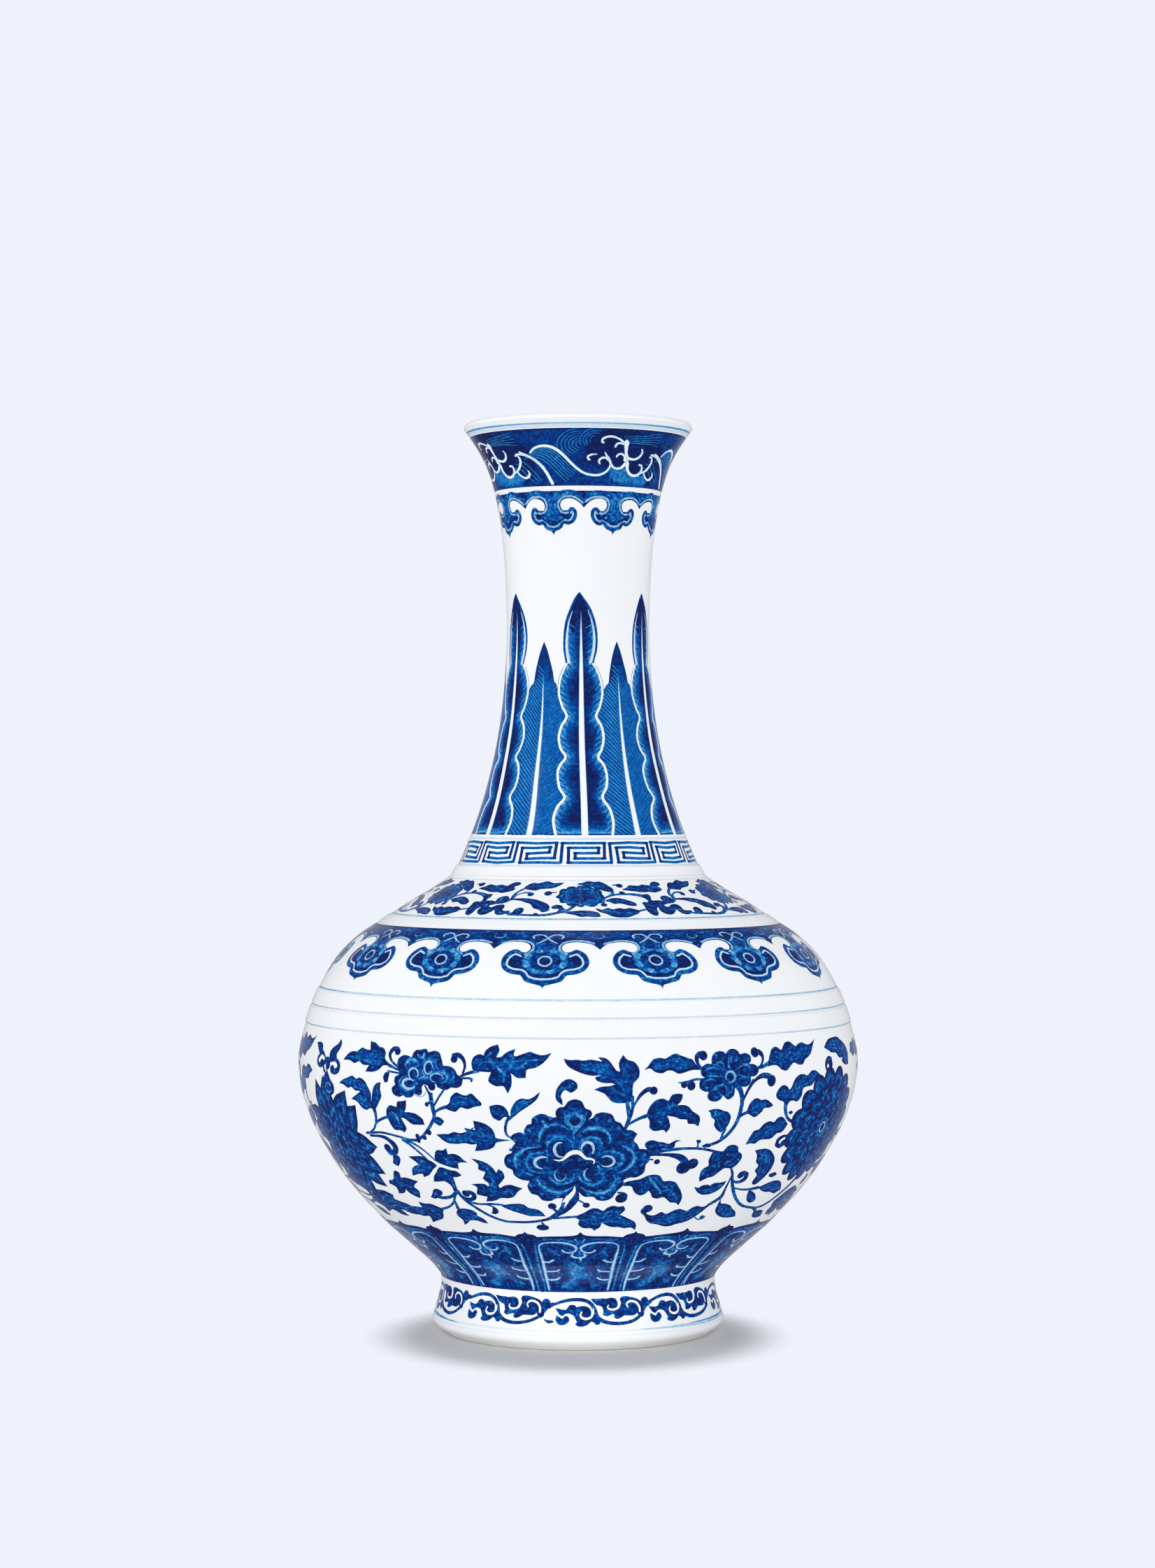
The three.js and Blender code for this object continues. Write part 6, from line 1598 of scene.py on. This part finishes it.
def turned_piece(name, wall, painting, low_z, high_z, below, above, columns, material_names):
    """A thrown section: its painted outside, closed by rings of (radius, height, material) at both ends"""
    low, high = wall.rise_at(low_z), wall.rise_at(high_z)
    points, faces, ink, brush, grain = painted_skin(wall, painting, low, high, columns)
    turn = np.radians(points[:, 0])
    radius, height = wall.at("skin", points[:, 1]), wall.at("z", points[:, 1])
    co = np.column_stack([radius * np.sin(turn), -radius * np.cos(turn), height]) * MM
    bm = bmesh.new()
    ink_layer = bm.loops.layers.float.new("ink")
    brush_layer = bm.loops.layers.float_vector.new("brush")
    grain_layer = bm.loops.layers.float.new("grain")
    uv_layer = bm.loops.layers.uv.new("OFBake")
    verts = [bm.verts.new(v) for v in co]
    u, v_way = (points[:, 0] + 180) / 360, (points[:, 1] - low) / (high - low)
    for tri, values, places, rough in zip(faces.tolist(), ink.tolist(), brush.tolist(), grain.tolist()):
        face = bm.faces.new([verts[i] for i in tri])
        face.smooth = True
        for loop, i, value, place in zip(face.loops, tri, values, places):
            loop[ink_layer] = value
            loop[brush_layer] = place
            loop[grain_layer] = rough
            loop[uv_layer].uv = (u[i], v_way[i] * UV_SKIN)
    bmesh.ops.delete(bm, geom=[v for v in bm.verts if not v.link_faces], context="VERTS")
    bmesh.ops.remove_doubles(bm, verts=bm.verts, dist=MERGE)
    edge = [v for v in bm.verts if v.is_boundary]
    close_rings(bm, [v for v in edge if v.co.z < (low_z + 0.01) * MM], below, UV_BELOW)
    close_rings(bm, [v for v in edge if v.co.z > (high_z - 0.01) * MM], above, UV_ABOVE)
    bmesh.ops.remove_doubles(bm, verts=[v for v in bm.verts if v.is_boundary], dist=MERGE)
    ends = [e for e in bm.edges if e.is_boundary]
    if ends:
        made = bmesh.ops.triangle_fill(bm, edges=ends, use_beauty=True, normal=(0, 0, 1))["geom"]
        for face in (g for g in made if isinstance(g, bmesh.types.BMFace)):
            for loop in face.loops:
                loop[uv_layer].uv = (0.5 + loop.vert.co.x * UV_END, 0.996 + loop.vert.co.y * 0.01)
    bmesh.ops.recalc_face_normals(bm, faces=bm.faces)
    mesh = bpy.data.meshes.new(name)
    bm.to_mesh(mesh)
    bm.free()
    for material in material_names:
        mesh.materials.append(bpy.data.materials[material])
    smooth_wall(mesh, wall)
    piece = bpy.data.objects.new(name, mesh)
    bpy.context.collection.objects.link(piece)
    return piece


def close_rings(bm, rim, rings, v_base):
    """Adds rings of (radius, height, material) to an open rim. A radius of 0 makes a pole"""
    rim = sorted(rim, key=lambda v: math.atan2(v.co.x, -v.co.y))
    lining = bmesh.new()
    uv_layer = lining.loops.layers.uv.new("OFBake")
    lining.loops.layers.float.new("ink")
    lining.loops.layers.float_vector.new("brush")
    lining.loops.layers.float.new("grain")
    verts = [lining.verts.new(v.co) for v in rim]
    edges = [lining.edges.new(pair) for pair in zip(verts, verts[1:] + verts[:1])]
    for k, (radius, height, slot) in enumerate(rings):
        made = bmesh.ops.extrude_edge_only(lining, edges=edges)["geom"]
        verts = [g for g in made if isinstance(g, bmesh.types.BMVert)]
        faces = [g for g in made if isinstance(g, bmesh.types.BMFace)]
        new = set(verts)
        edges = [g for g in made if isinstance(g, bmesh.types.BMEdge) and set(g.verts) <= new]
        for v in verts:
            a = math.atan2(v.co.x, -v.co.y)
            v.co = Vector((radius * math.sin(a), -radius * math.cos(a), height)) * MM
        for f in faces:
            f.material_index = slot
            f.smooth = True
            middle = f.calc_center_median()
            facing = math.atan2(middle.x, -middle.y)
            for loop in f.loops:
                a = math.atan2(loop.vert.co.x,
                    -loop.vert.co.y) if radius or loop.vert not in new else facing
                a += math.tau * round((facing - a) / math.tau)
                row = k + 1 if loop.vert in new else k
                loop[uv_layer].uv = ((a + math.pi) / math.tau, v_base + UV_LINING * row / len(rings))
        if not radius:
            bmesh.ops.remove_doubles(lining, verts=verts, dist=1e-5)
    shell = bpy.data.meshes.new("lining")
    lining.to_mesh(shell)
    lining.free()
    bm.from_mesh(shell)
    bpy.data.meshes.remove(shell)


def smooth_wall(mesh, wall):
    """Sets the outside's normals from the turned form itself, so long triangles don't show in the gloss"""
    count = len(mesh.loops)
    vert_of = np.zeros(count, int)
    mesh.loops.foreach_get("vertex_index", vert_of)
    co = np.zeros(len(mesh.vertices) * 3)
    mesh.vertices.foreach_get("co", co)
    co = co.reshape(-1, 3) / MM
    radius = np.hypot(co[:, 0], co[:, 1])
    skin = np.interp(co[:, 2], wall.z, wall.skin)
    lean = np.interp(co[:, 2], wall.z, wall.lean)
    base = np.zeros(len(mesh.vertices) * 3)
    mesh.vertices.foreach_get("normal", base)
    corner = base.reshape(-1, 3)[vert_of]
    face_normal = np.zeros(len(mesh.polygons) * 3)
    mesh.polygons.foreach_get("normal", face_normal)
    face_normal = face_normal.reshape(-1, 3)
    totals = np.zeros(len(mesh.polygons), int)
    mesh.polygons.foreach_get("loop_total", totals)
    face_of = np.repeat(np.arange(len(mesh.polygons)), totals)
    size = np.hypot(1, lean)
    outward = np.column_stack([co[:, 0] / np.maximum(radius, 1e-6) / size,
                               co[:, 1] / np.maximum(radius, 1e-6) / size, -lean / size])
    on_skin = (abs(radius - skin) < 0.01) & (co[:, 2] >= wall.z[0] - 1e-3) & (co[:, 2] <= wall.z[-1] + 1e-3)
    agrees = (face_normal[face_of] * outward[vert_of]).sum(1) > 0.7
    use = on_skin[vert_of] & agrees
    corner[use] = outward[vert_of][use]
    flat = ~use & ((face_normal[face_of] * corner).sum(1) < 0.75)
    corner[flat] = face_normal[face_of][flat]
    mesh.normals_split_custom_set(corner.tolist())


def node(tree, kind, **settings):
    """A new node with these settings"""
    made = tree.nodes.new(kind)
    for key, value in settings.items():
        setattr(made, key, value)
    return made


def noise(tree, vector, scale, detail, spread):
    """A noise round 0 that reaches about spread to either side"""
    made = node(tree, "ShaderNodeTexNoise")
    made.inputs["Scale"].default_value = scale
    made.inputs["Detail"].default_value = detail
    tree.links.new(vector, made.inputs["Vector"])
    vary = node(tree, "ShaderNodeMapRange")
    for name, value in (("From Min", 0.3), ("From Max", 0.7), ("To Min", -spread), ("To Max", spread)):
        vary.inputs[name].default_value = value
    tree.links.new(made.outputs["Fac"], vary.inputs["Value"])
    return vary.outputs[0]


def maths(tree, operation, a, b):
    """The result of a sum or product of two sockets or numbers"""
    made = node(tree, "ShaderNodeMath", operation=operation)
    for socket, value in zip(made.inputs, (a, b)):
        if isinstance(value, (int, float)):
            socket.default_value = value
        else:
            tree.links.new(value, socket)
    return made.outputs[0]


SPECK_SCALE, POOL_SCALE, BARE_SCALE = 750, 160, 300  # how fine the specks, pools and bare grain are
STREAK_STRETCH = (0.3, 0.9, 1)  # how fine the streaks are along the brush and across it
GLAZE_IOR, GLAZE_SPECULAR = 1.45, 0.22
BARE_ROUGHNESS = 0.75
BARE_DARK, BARE_LIGHT = (0.62, 0.52, 0.42, 1), (0.78, 0.72, 0.64, 1)


def glaze_material(finish):
    """White glaze over cobalt: the ink, streaked along the brush and in specks, picks the blue"""
    material = bpy.data.materials.new("painted_glaze")
    material.use_nodes = True
    tree = material.node_tree
    tree.nodes.clear()
    out = node(tree, "ShaderNodeOutputMaterial")
    shader = node(tree, "ShaderNodeBsdfPrincipled")
    shader.inputs["Roughness"].default_value = finish.roughness
    shader.inputs["IOR"].default_value = GLAZE_IOR
    shader.inputs["Specular IOR Level"].default_value = GLAZE_SPECULAR
    tree.links.new(shader.outputs[0], out.inputs[0])
    ink = node(tree, "ShaderNodeAttribute", attribute_name="ink").outputs["Fac"]
    brush = node(tree, "ShaderNodeAttribute", attribute_name="brush").outputs["Vector"]
    place = node(tree, "ShaderNodeTexCoord").outputs["Object"]
    drawn = node(tree, "ShaderNodeVectorMath", operation="MULTIPLY")
    drawn.inputs[1].default_value = STREAK_STRETCH
    tree.links.new(brush, drawn.inputs[0])
    streaks = noise(tree, drawn.outputs[0], 1.0, 2, finish.streaks)
    specks = noise(tree, place, SPECK_SCALE, 1, finish.specks)
    pools = noise(tree, place, POOL_SCALE, 2, finish.pools)
    grain = node(tree, "ShaderNodeAttribute", attribute_name="grain").outputs["Fac"]
    vary = maths(tree, "MULTIPLY", maths(tree, "ADD", maths(tree, "ADD", streaks, specks), pools), grain)
    strength = maths(tree, "MULTIPLY", ink, maths(tree, "ADD", vary, 1.0))
    ramp = node(tree, "ShaderNodeValToRGB")
    stops = ((BARE, finish.glaze), (PALE, finish.pale_blue), (LIGHT, finish.light_blue),
        (MID, finish.mid_blue), (WASH, finish.wash_blue), (DEEP, finish.deep_blue),
        (DARK, finish.dark_blue))
    while len(ramp.color_ramp.elements) < len(stops):
        ramp.color_ramp.elements.new(0.5)
    for element, (position, colour) in zip(ramp.color_ramp.elements, stops):
        element.position = position
        element.color = (*colour, 1)
    tree.links.new(strength, ramp.inputs["Fac"])
    tree.links.new(ramp.outputs["Color"], shader.inputs["Base Color"])
    return material


def bare_material():
    """Unglazed porcelain, as on the resting ring"""
    material = bpy.data.materials.new("bare_porcelain")
    material.use_nodes = True
    tree = material.node_tree
    shader = tree.nodes["Principled BSDF"]
    shader.inputs["Roughness"].default_value = BARE_ROUGHNESS
    grain = node(tree, "ShaderNodeTexNoise")
    grain.inputs["Scale"].default_value = BARE_SCALE
    place = node(tree, "ShaderNodeTexCoord")
    tree.links.new(place.outputs["Object"], grain.inputs["Vector"])
    ramp = node(tree, "ShaderNodeValToRGB")
    ramp.color_ramp.elements[0].color = BARE_DARK
    ramp.color_ramp.elements[1].color = BARE_LIGHT
    tree.links.new(grain.outputs["Fac"], ramp.inputs["Fac"])
    tree.links.new(ramp.outputs["Color"], shader.inputs["Base Color"])
    return material


_made = {}  # the wall and its painting, once they have been worked out


def shared():
    """The wall, its painting and the sizes; the first call works them out and makes the materials"""
    if not _made:
        scene = bpy.context.scene
        _made["wall"] = Wall(scene.vase_sizes)
        _made["painting"] = paint_vase(_made["wall"])
        glaze_material(scene.vase_finish)
        bare_material()
    return _made["wall"], _made["painting"], bpy.context.scene.vase_sizes


HEEL = 37  # height at which the inside of the bowl turns in to its floor
FLOOR_CURVE = ((56.4, 3.3), (45.1, 0.8), (25, 0.1), (0, 0))  # radius, and height above the floor
# A layer of slip's bead: how far it stands inwards, at shares of the layer's half thickness.
BEAD = ((0, 1), (0.8, 0.7), (1.1, 0), (0.8, -0.7), (0, -1))


def end_rings(wall, joint, toward):
    """Rings that end a section at a joint, in under the glaze and on to the face of the slip"""
    edge = wall.outer_radius(joint) - GLAZE_DEPTH
    return [(edge, joint, 0), (edge, joint + toward * SLIP_HALF, 0)]


def inside_rings(wall, start, end, count):
    """Rings down the inside of the wall"""
    return [(wall.inside_radius(z), z, 0) for z in np.linspace(start, end, count)]


class VASE_OT_neck(bpy.types.Operator):
    """Make the neck section with its flared mouth and rounded lip"""

    bl_idname = "vase.neck"
    bl_label = "Neck section"

    def execute(self, context):
        wall, painting, sizes = shared()
        lip_z, lip_r = sizes.lip_height / MM, sizes.lip_radius / MM
        above = [(lip_r - LIP_ROUND + LIP_ROUND * math.cos(t), lip_z + LIP_ROUND * math.sin(t), 0)
                 for t in np.linspace(0, math.pi, 13)[1:]]
        above += inside_rings(wall, lip_z - 4, NECK_JOINT + SLIP_HALF, 40)
        below = end_rings(wall, NECK_JOINT, 1)
        piece = turned_piece("painted_neck", wall, painting, NECK_JOINT, lip_z, below, above, sizes.columns,
                             ["painted_glaze"])
        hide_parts("neck_section")
        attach(piece, "root")
        return {"FINISHED"}


class VASE_OT_shoulder(bpy.types.Operator):
    """Make the shoulder section down to the widest point"""

    bl_idname = "vase.shoulder"
    bl_label = "Shoulder section"

    def execute(self, context):
        wall, painting, sizes = shared()
        joint = sizes.belly_height / MM
        below = end_rings(wall, joint, 1)
        above = end_rings(wall, NECK_JOINT, -1)
        above += inside_rings(wall, NECK_JOINT - SLIP_HALF, joint + SLIP_HALF, 30)
        piece = turned_piece("painted_shoulder", wall, painting, joint, NECK_JOINT, below, above,
            sizes.columns, ["painted_glaze"])
        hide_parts("shoulder_section")
        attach(piece, "root")
        return {"FINISHED"}


class VASE_OT_lower_bowl(bpy.types.Operator):
    """Make the lower bowl with its floor"""

    bl_idname = "vase.lower_bowl"
    bl_label = "Lower bowl"

    def execute(self, context):
        wall, painting, sizes = shared()
        joint, foot = sizes.belly_height / MM, sizes.waist_height / MM
        floor = foot + SLIP_HALF
        below = end_rings(wall, foot, 1) + [(wall.outer_radius(foot) * 0.5, floor, 0), (0, floor, 0)]
        above = end_rings(wall, joint, -1) + inside_rings(wall, joint - SLIP_HALF, HEEL, 24)
        above += [(radius, floor + FLOOR + height, 0) for radius, height in FLOOR_CURVE]
        piece = turned_piece("painted_bowl", wall, painting, foot, joint, below, above, sizes.columns,
                             ["painted_glaze"])
        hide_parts("lower_bowl_section")
        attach(piece, "root")
        return {"FINISHED"}


class VASE_OT_foot(bpy.types.Operator):
    """Make the turned foot with its bare resting ring"""

    bl_idname = "vase.foot"
    bl_label = "Foot ring"

    def execute(self, context):
        wall, painting, sizes = shared()
        joint = sizes.waist_height / MM
        rim = sizes.foot_rim_radius / MM
        root = sizes.waist_radius / MM - FOOT_WALL
        inner_rim = rim - FOOT_RIM_WIDTH
        below = [(rim + 0.35, 0.3, 0), (rim, 0, 1), (inner_rim, 0, 1), (inner_rim - 0.7, 0.6, 1),
            (inner_rim - CHAMFER, 1.8, 0), (root, joint - SLIP_HALF - CHAMFER, 0),
            (root, joint - SLIP_HALF, 0)]
        above = end_rings(wall, joint, -1)
        piece = turned_piece("painted_foot", wall, painting, CHAMFER, joint, below, above, sizes.columns,
                             ["painted_glaze", "bare_porcelain"])
        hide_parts("foot_ring")
        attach(piece, "root")
        return {"FINISHED"}


class VASE_OT_slips(bpy.types.Operator):
    """Make the layers of slip inside the joints"""

    bl_idname = "vase.slips"
    bl_label = "Luting slips"

    def execute(self, context):
        wall, painting, sizes = shared()
        for name, joint, inner in (
            ("neck_slip", NECK_JOINT, None), ("belly_slip", sizes.belly_height / MM, None),
            ("foot_slip", sizes.waist_height / MM, sizes.waist_radius / MM - FOOT_WALL)):
            outer = wall.outer_radius(joint) - GLAZE_DEPTH - SLIP_PLAY
            inner = inner or wall.inside_radius(joint)
            bm = bmesh.new()
            half = SLIP_HALF - SLIP_PLAY / 2
            ring = [(outer, joint - half), (outer, joint + half)]
            ring += [(inner - inward, joint + half * part) for inward, part in BEAD]
            verts = [bm.verts.new((r * MM, 0, z * MM)) for r, z in ring]
            edges = [bm.edges.new((a, b)) for a, b in zip(verts, verts[1:] + verts[:1])]
            bmesh.ops.spin(bm, geom=verts + edges, cent=(0, 0, 0), axis=(0, 0, 1), angle=math.tau,
                           steps=sizes.columns, use_merge=True)
            bmesh.ops.remove_doubles(bm, verts=bm.verts, dist=1e-6)
            bmesh.ops.recalc_face_normals(bm, faces=bm.faces)
            mesh = bpy.data.meshes.new(name)
            bm.to_mesh(mesh)
            bm.free()
            mesh.materials.append(bpy.data.materials["bare_porcelain"])
            piece = bpy.data.objects.new(name, mesh)
            context.collection.objects.link(piece)
            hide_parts(name.replace("_slip", "_luting_slip"))
            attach(piece, "root")
        return {"FINISHED"}


SENSOR_WIDTH = 36  # millimetres
FARTHEST = 20  # metres from the camera that it still sees
DAYLIGHT_TINT = (0.95, 0.97, 1, 1)
BACKDROP_FROM, BACKDROP_FULL = 0.68, 0.95  # how far to the back the mirrored backdrop starts, and is full
LIT_POINT = (0, 0, 0.2)
# Name, place in metres, size in metres, power in watts, and whether the glaze mirrors it.
LAMPS = (
    ("left_lamp", (-1.7, -1.0, 0.8), 1.2, 6.8, False),
    ("right_lamp", (1.7, -0.9, 0.7), 1.2, 4.5, False),
    ("low_lamp", (0, -2.1, 0.2), 1.0, 4.3, False),
    ("top_lamp", (0, 0.2, 2.2), 1.6, 2.2, False),
    ("window", (-1.6, -1.0, 1.3), 0.5, 1.2, True))
FOOT_LAMP_PLACE, FOOT_LAMP_SIZE = (0, -1.4, 0.012), 0.03
FOOT_LAMP_POWER, FOOT_LAMP_DEGREES = 22, 6
FLOOR_RADIUS = 3  # metres
# The floor's oval round the vase, in metres, its shift towards the camera, and the share of it from which
# the floor fades away. The grey floor inside it is a painted shadow round the foot, on top of the shade the
# lamps cast.
SHADOW_OVAL_WIDE, SHADOW_OVAL_DEEP, SHADOW_OVAL_FORWARD, SHADOW_OVAL_FADE = 0.0945, 0.108, 0.018, 0.68


class VASE_OT_studio(bpy.types.Operator):
    """Set the floor, the backdrop, the lights and the camera"""

    bl_idname = "vase.studio"
    bl_label = "Studio"

    def execute(self, context):
        studio = context.scene.vase_studio
        camera = bpy.data.cameras.new("photo_camera")
        camera.sensor_width = SENSOR_WIDTH
        camera.lens = studio.focal_length
        camera.clip_end = FARTHEST
        holder = bpy.data.objects.new("photo_camera", camera)
        holder.location = (studio.camera_side, -studio.camera_distance, studio.camera_height)
        holder.rotation_euler = (math.pi / 2, 0, 0)
        context.collection.objects.link(holder)
        context.scene.camera = holder
        self.daylight(context, studio)
        self.floor(context, studio)
        for name, where, size, power, shines in LAMPS:
            lamp = bpy.data.lights.new(name, "AREA")
            lamp.energy = power
            lamp.size = size
            lamp_object = bpy.data.objects.new(name, lamp)
            lamp_object.location = where
            lamp_object.visible_glossy = shines
            aim = Vector(LIT_POINT) - Vector(where)
            lamp_object.rotation_euler = aim.to_track_quat("-Z", "Y").to_euler()
            context.collection.objects.link(lamp_object)
        self.foot_light(context)
        context.scene.view_settings.view_transform = "Standard"
        return {"FINISHED"}

    def daylight(self, context, studio):
        """Even light from all round, weaker where the glaze mirrors it, and the backdrop the camera sees"""
        world = bpy.data.worlds.new("studio_world")
        context.scene.world = world
        world.use_nodes = True
        tree = world.node_tree
        tree.nodes.clear()
        out = node(tree, "ShaderNodeOutputWorld")
        light = node(tree, "ShaderNodeBackground")
        light.inputs["Color"].default_value = DAYLIGHT_TINT
        light.inputs["Strength"].default_value = studio.daylight
        seen = node(tree, "ShaderNodeBackground")
        seen.inputs["Color"].default_value = (*studio.backdrop, 1)
        mix = node(tree, "ShaderNodeMixShader")
        path = node(tree, "ShaderNodeLightPath")
        dim = node(tree, "ShaderNodeBackground")
        dim.inputs["Color"].default_value = DAYLIGHT_TINT
        way = node(tree, "ShaderNodeTexCoord")
        split = node(tree, "ShaderNodeSeparateXYZ")
        shine = node(tree, "ShaderNodeMapRange", interpolation_type="SMOOTHSTEP")
        for name, value in (("From Min", BACKDROP_FROM), ("From Max", BACKDROP_FULL),
                            ("To Min", studio.reflected), ("To Max", studio.backdrop_shine)):
            shine.inputs[name].default_value = value
        tree.links.new(way.outputs["Generated"], split.inputs[0])
        tree.links.new(split.outputs["Y"], shine.inputs["Value"])
        tree.links.new(shine.outputs["Result"], dim.inputs["Strength"])
        gloss = node(tree, "ShaderNodeMixShader")
        tree.links.new(path.outputs["Is Glossy Ray"], gloss.inputs[0])
        tree.links.new(light.outputs[0], gloss.inputs[1])
        tree.links.new(dim.outputs[0], gloss.inputs[2])
        tree.links.new(path.outputs["Is Camera Ray"], mix.inputs[0])
        tree.links.new(gloss.outputs[0], mix.inputs[1])
        tree.links.new(seen.outputs[0], mix.inputs[2])
        tree.links.new(mix.outputs[0], out.inputs[0])

    def foot_light(self, context):
        """A narrow lamp level with the foot, which the belly keeps in shade otherwise"""
        lamp = bpy.data.lights.new("foot_lamp", "SPOT")
        lamp.energy = FOOT_LAMP_POWER
        lamp.shadow_soft_size = FOOT_LAMP_SIZE
        lamp.spot_size = math.radians(FOOT_LAMP_DEGREES)
        lamp.spot_blend = 1
        lamp_object = bpy.data.objects.new("foot_lamp", lamp)
        lamp_object.location = FOOT_LAMP_PLACE
        lamp_object.rotation_euler = (math.pi / 2, 0, 0)
        lamp_object.visible_glossy = False
        context.collection.objects.link(lamp_object)

    def floor(self, context, studio):
        """A grey floor that fades away in an oval round the vase, so the backdrop shows beyond it. Its grey
        and its oval, set forward towards the camera, are a painted shadow round the foot, on top of the
        shade the lamps cast
        """
        bm = bmesh.new()
        bmesh.ops.create_circle(bm, cap_ends=True, radius=FLOOR_RADIUS, segments=96)
        mesh = bpy.data.meshes.new("floor")
        bm.to_mesh(mesh)
        bm.free()
        floor = bpy.data.objects.new("floor", mesh)
        context.collection.objects.link(floor)
        material = bpy.data.materials.new("pale_floor")
        material.use_nodes = True
        tree = material.node_tree
        tree.nodes.clear()
        out = node(tree, "ShaderNodeOutputMaterial")
        diffuse = node(tree, "ShaderNodeBsdfDiffuse")
        # The floor's grey is painted shadow round the foot, darker than the backdrop it fades into.
        diffuse.inputs["Color"].default_value = (*studio.floor, 1)
        clear = node(tree, "ShaderNodeBsdfTransparent")
        place = node(tree, "ShaderNodeTexCoord")
        oval = node(tree, "ShaderNodeVectorMath", operation="MULTIPLY_ADD")
        oval.inputs[1].default_value = (1 / SHADOW_OVAL_WIDE, 1 / SHADOW_OVAL_DEEP, 0)
        oval.inputs[2].default_value = (0, SHADOW_OVAL_FORWARD / SHADOW_OVAL_DEEP, 0)
        length = node(tree, "ShaderNodeVectorMath", operation="LENGTH")
        tree.links.new(place.outputs["Object"], oval.inputs[0])
        tree.links.new(oval.outputs[0], length.inputs[0])
        fade = node(tree, "ShaderNodeMapRange", interpolation_type="SMOOTHSTEP")
        fade.inputs["From Min"].default_value = SHADOW_OVAL_FADE
        fade.inputs["From Max"].default_value = 1.0
        tree.links.new(length.outputs["Value"], fade.inputs["Value"])
        mix = node(tree, "ShaderNodeMixShader")
        tree.links.new(fade.outputs[0], mix.inputs[0])
        tree.links.new(diffuse.outputs[0], mix.inputs[1])
        tree.links.new(clear.outputs[0], mix.inputs[2])
        tree.links.new(mix.outputs[0], out.inputs[0])
        mesh.materials.append(material)
        floor.visible_glossy = False


class VASE_PT_panel(bpy.types.Panel):
    """Steps of the vase"""

    bl_label = "Painted vase"
    bl_space_type = "VIEW_3D"
    bl_region_type = "UI"
    bl_category = "Vase"

    def draw(self, context):
        for step in STEPS:
            self.layout.operator(step.bl_idname)


STEPS = (VASE_OT_neck, VASE_OT_shoulder, VASE_OT_lower_bowl, VASE_OT_foot, VASE_OT_slips, VASE_OT_studio)
GROUPS = {"vase_sizes": VaseSizes, "vase_finish": VaseFinish, "vase_studio": VaseStudio}


def register():
    for group in GROUPS.values():
        bpy.utils.register_class(group)
    for name, group in GROUPS.items():
        setattr(bpy.types.Scene, name, PointerProperty(type=group))
    for step in STEPS + (VASE_PT_panel,):
        bpy.utils.register_class(step)


def unregister():
    for step in STEPS + (VASE_PT_panel,):
        bpy.utils.unregister_class(step)
    for name, group in GROUPS.items():
        delattr(bpy.types.Scene, name)
        bpy.utils.unregister_class(group)


def main():
    """Builds the vase and its studio"""
    register()
    for step in STEPS:
        getattr(bpy.ops.vase, step.bl_idname.split(".")[1])()


if __name__ == "__main__":
    main()
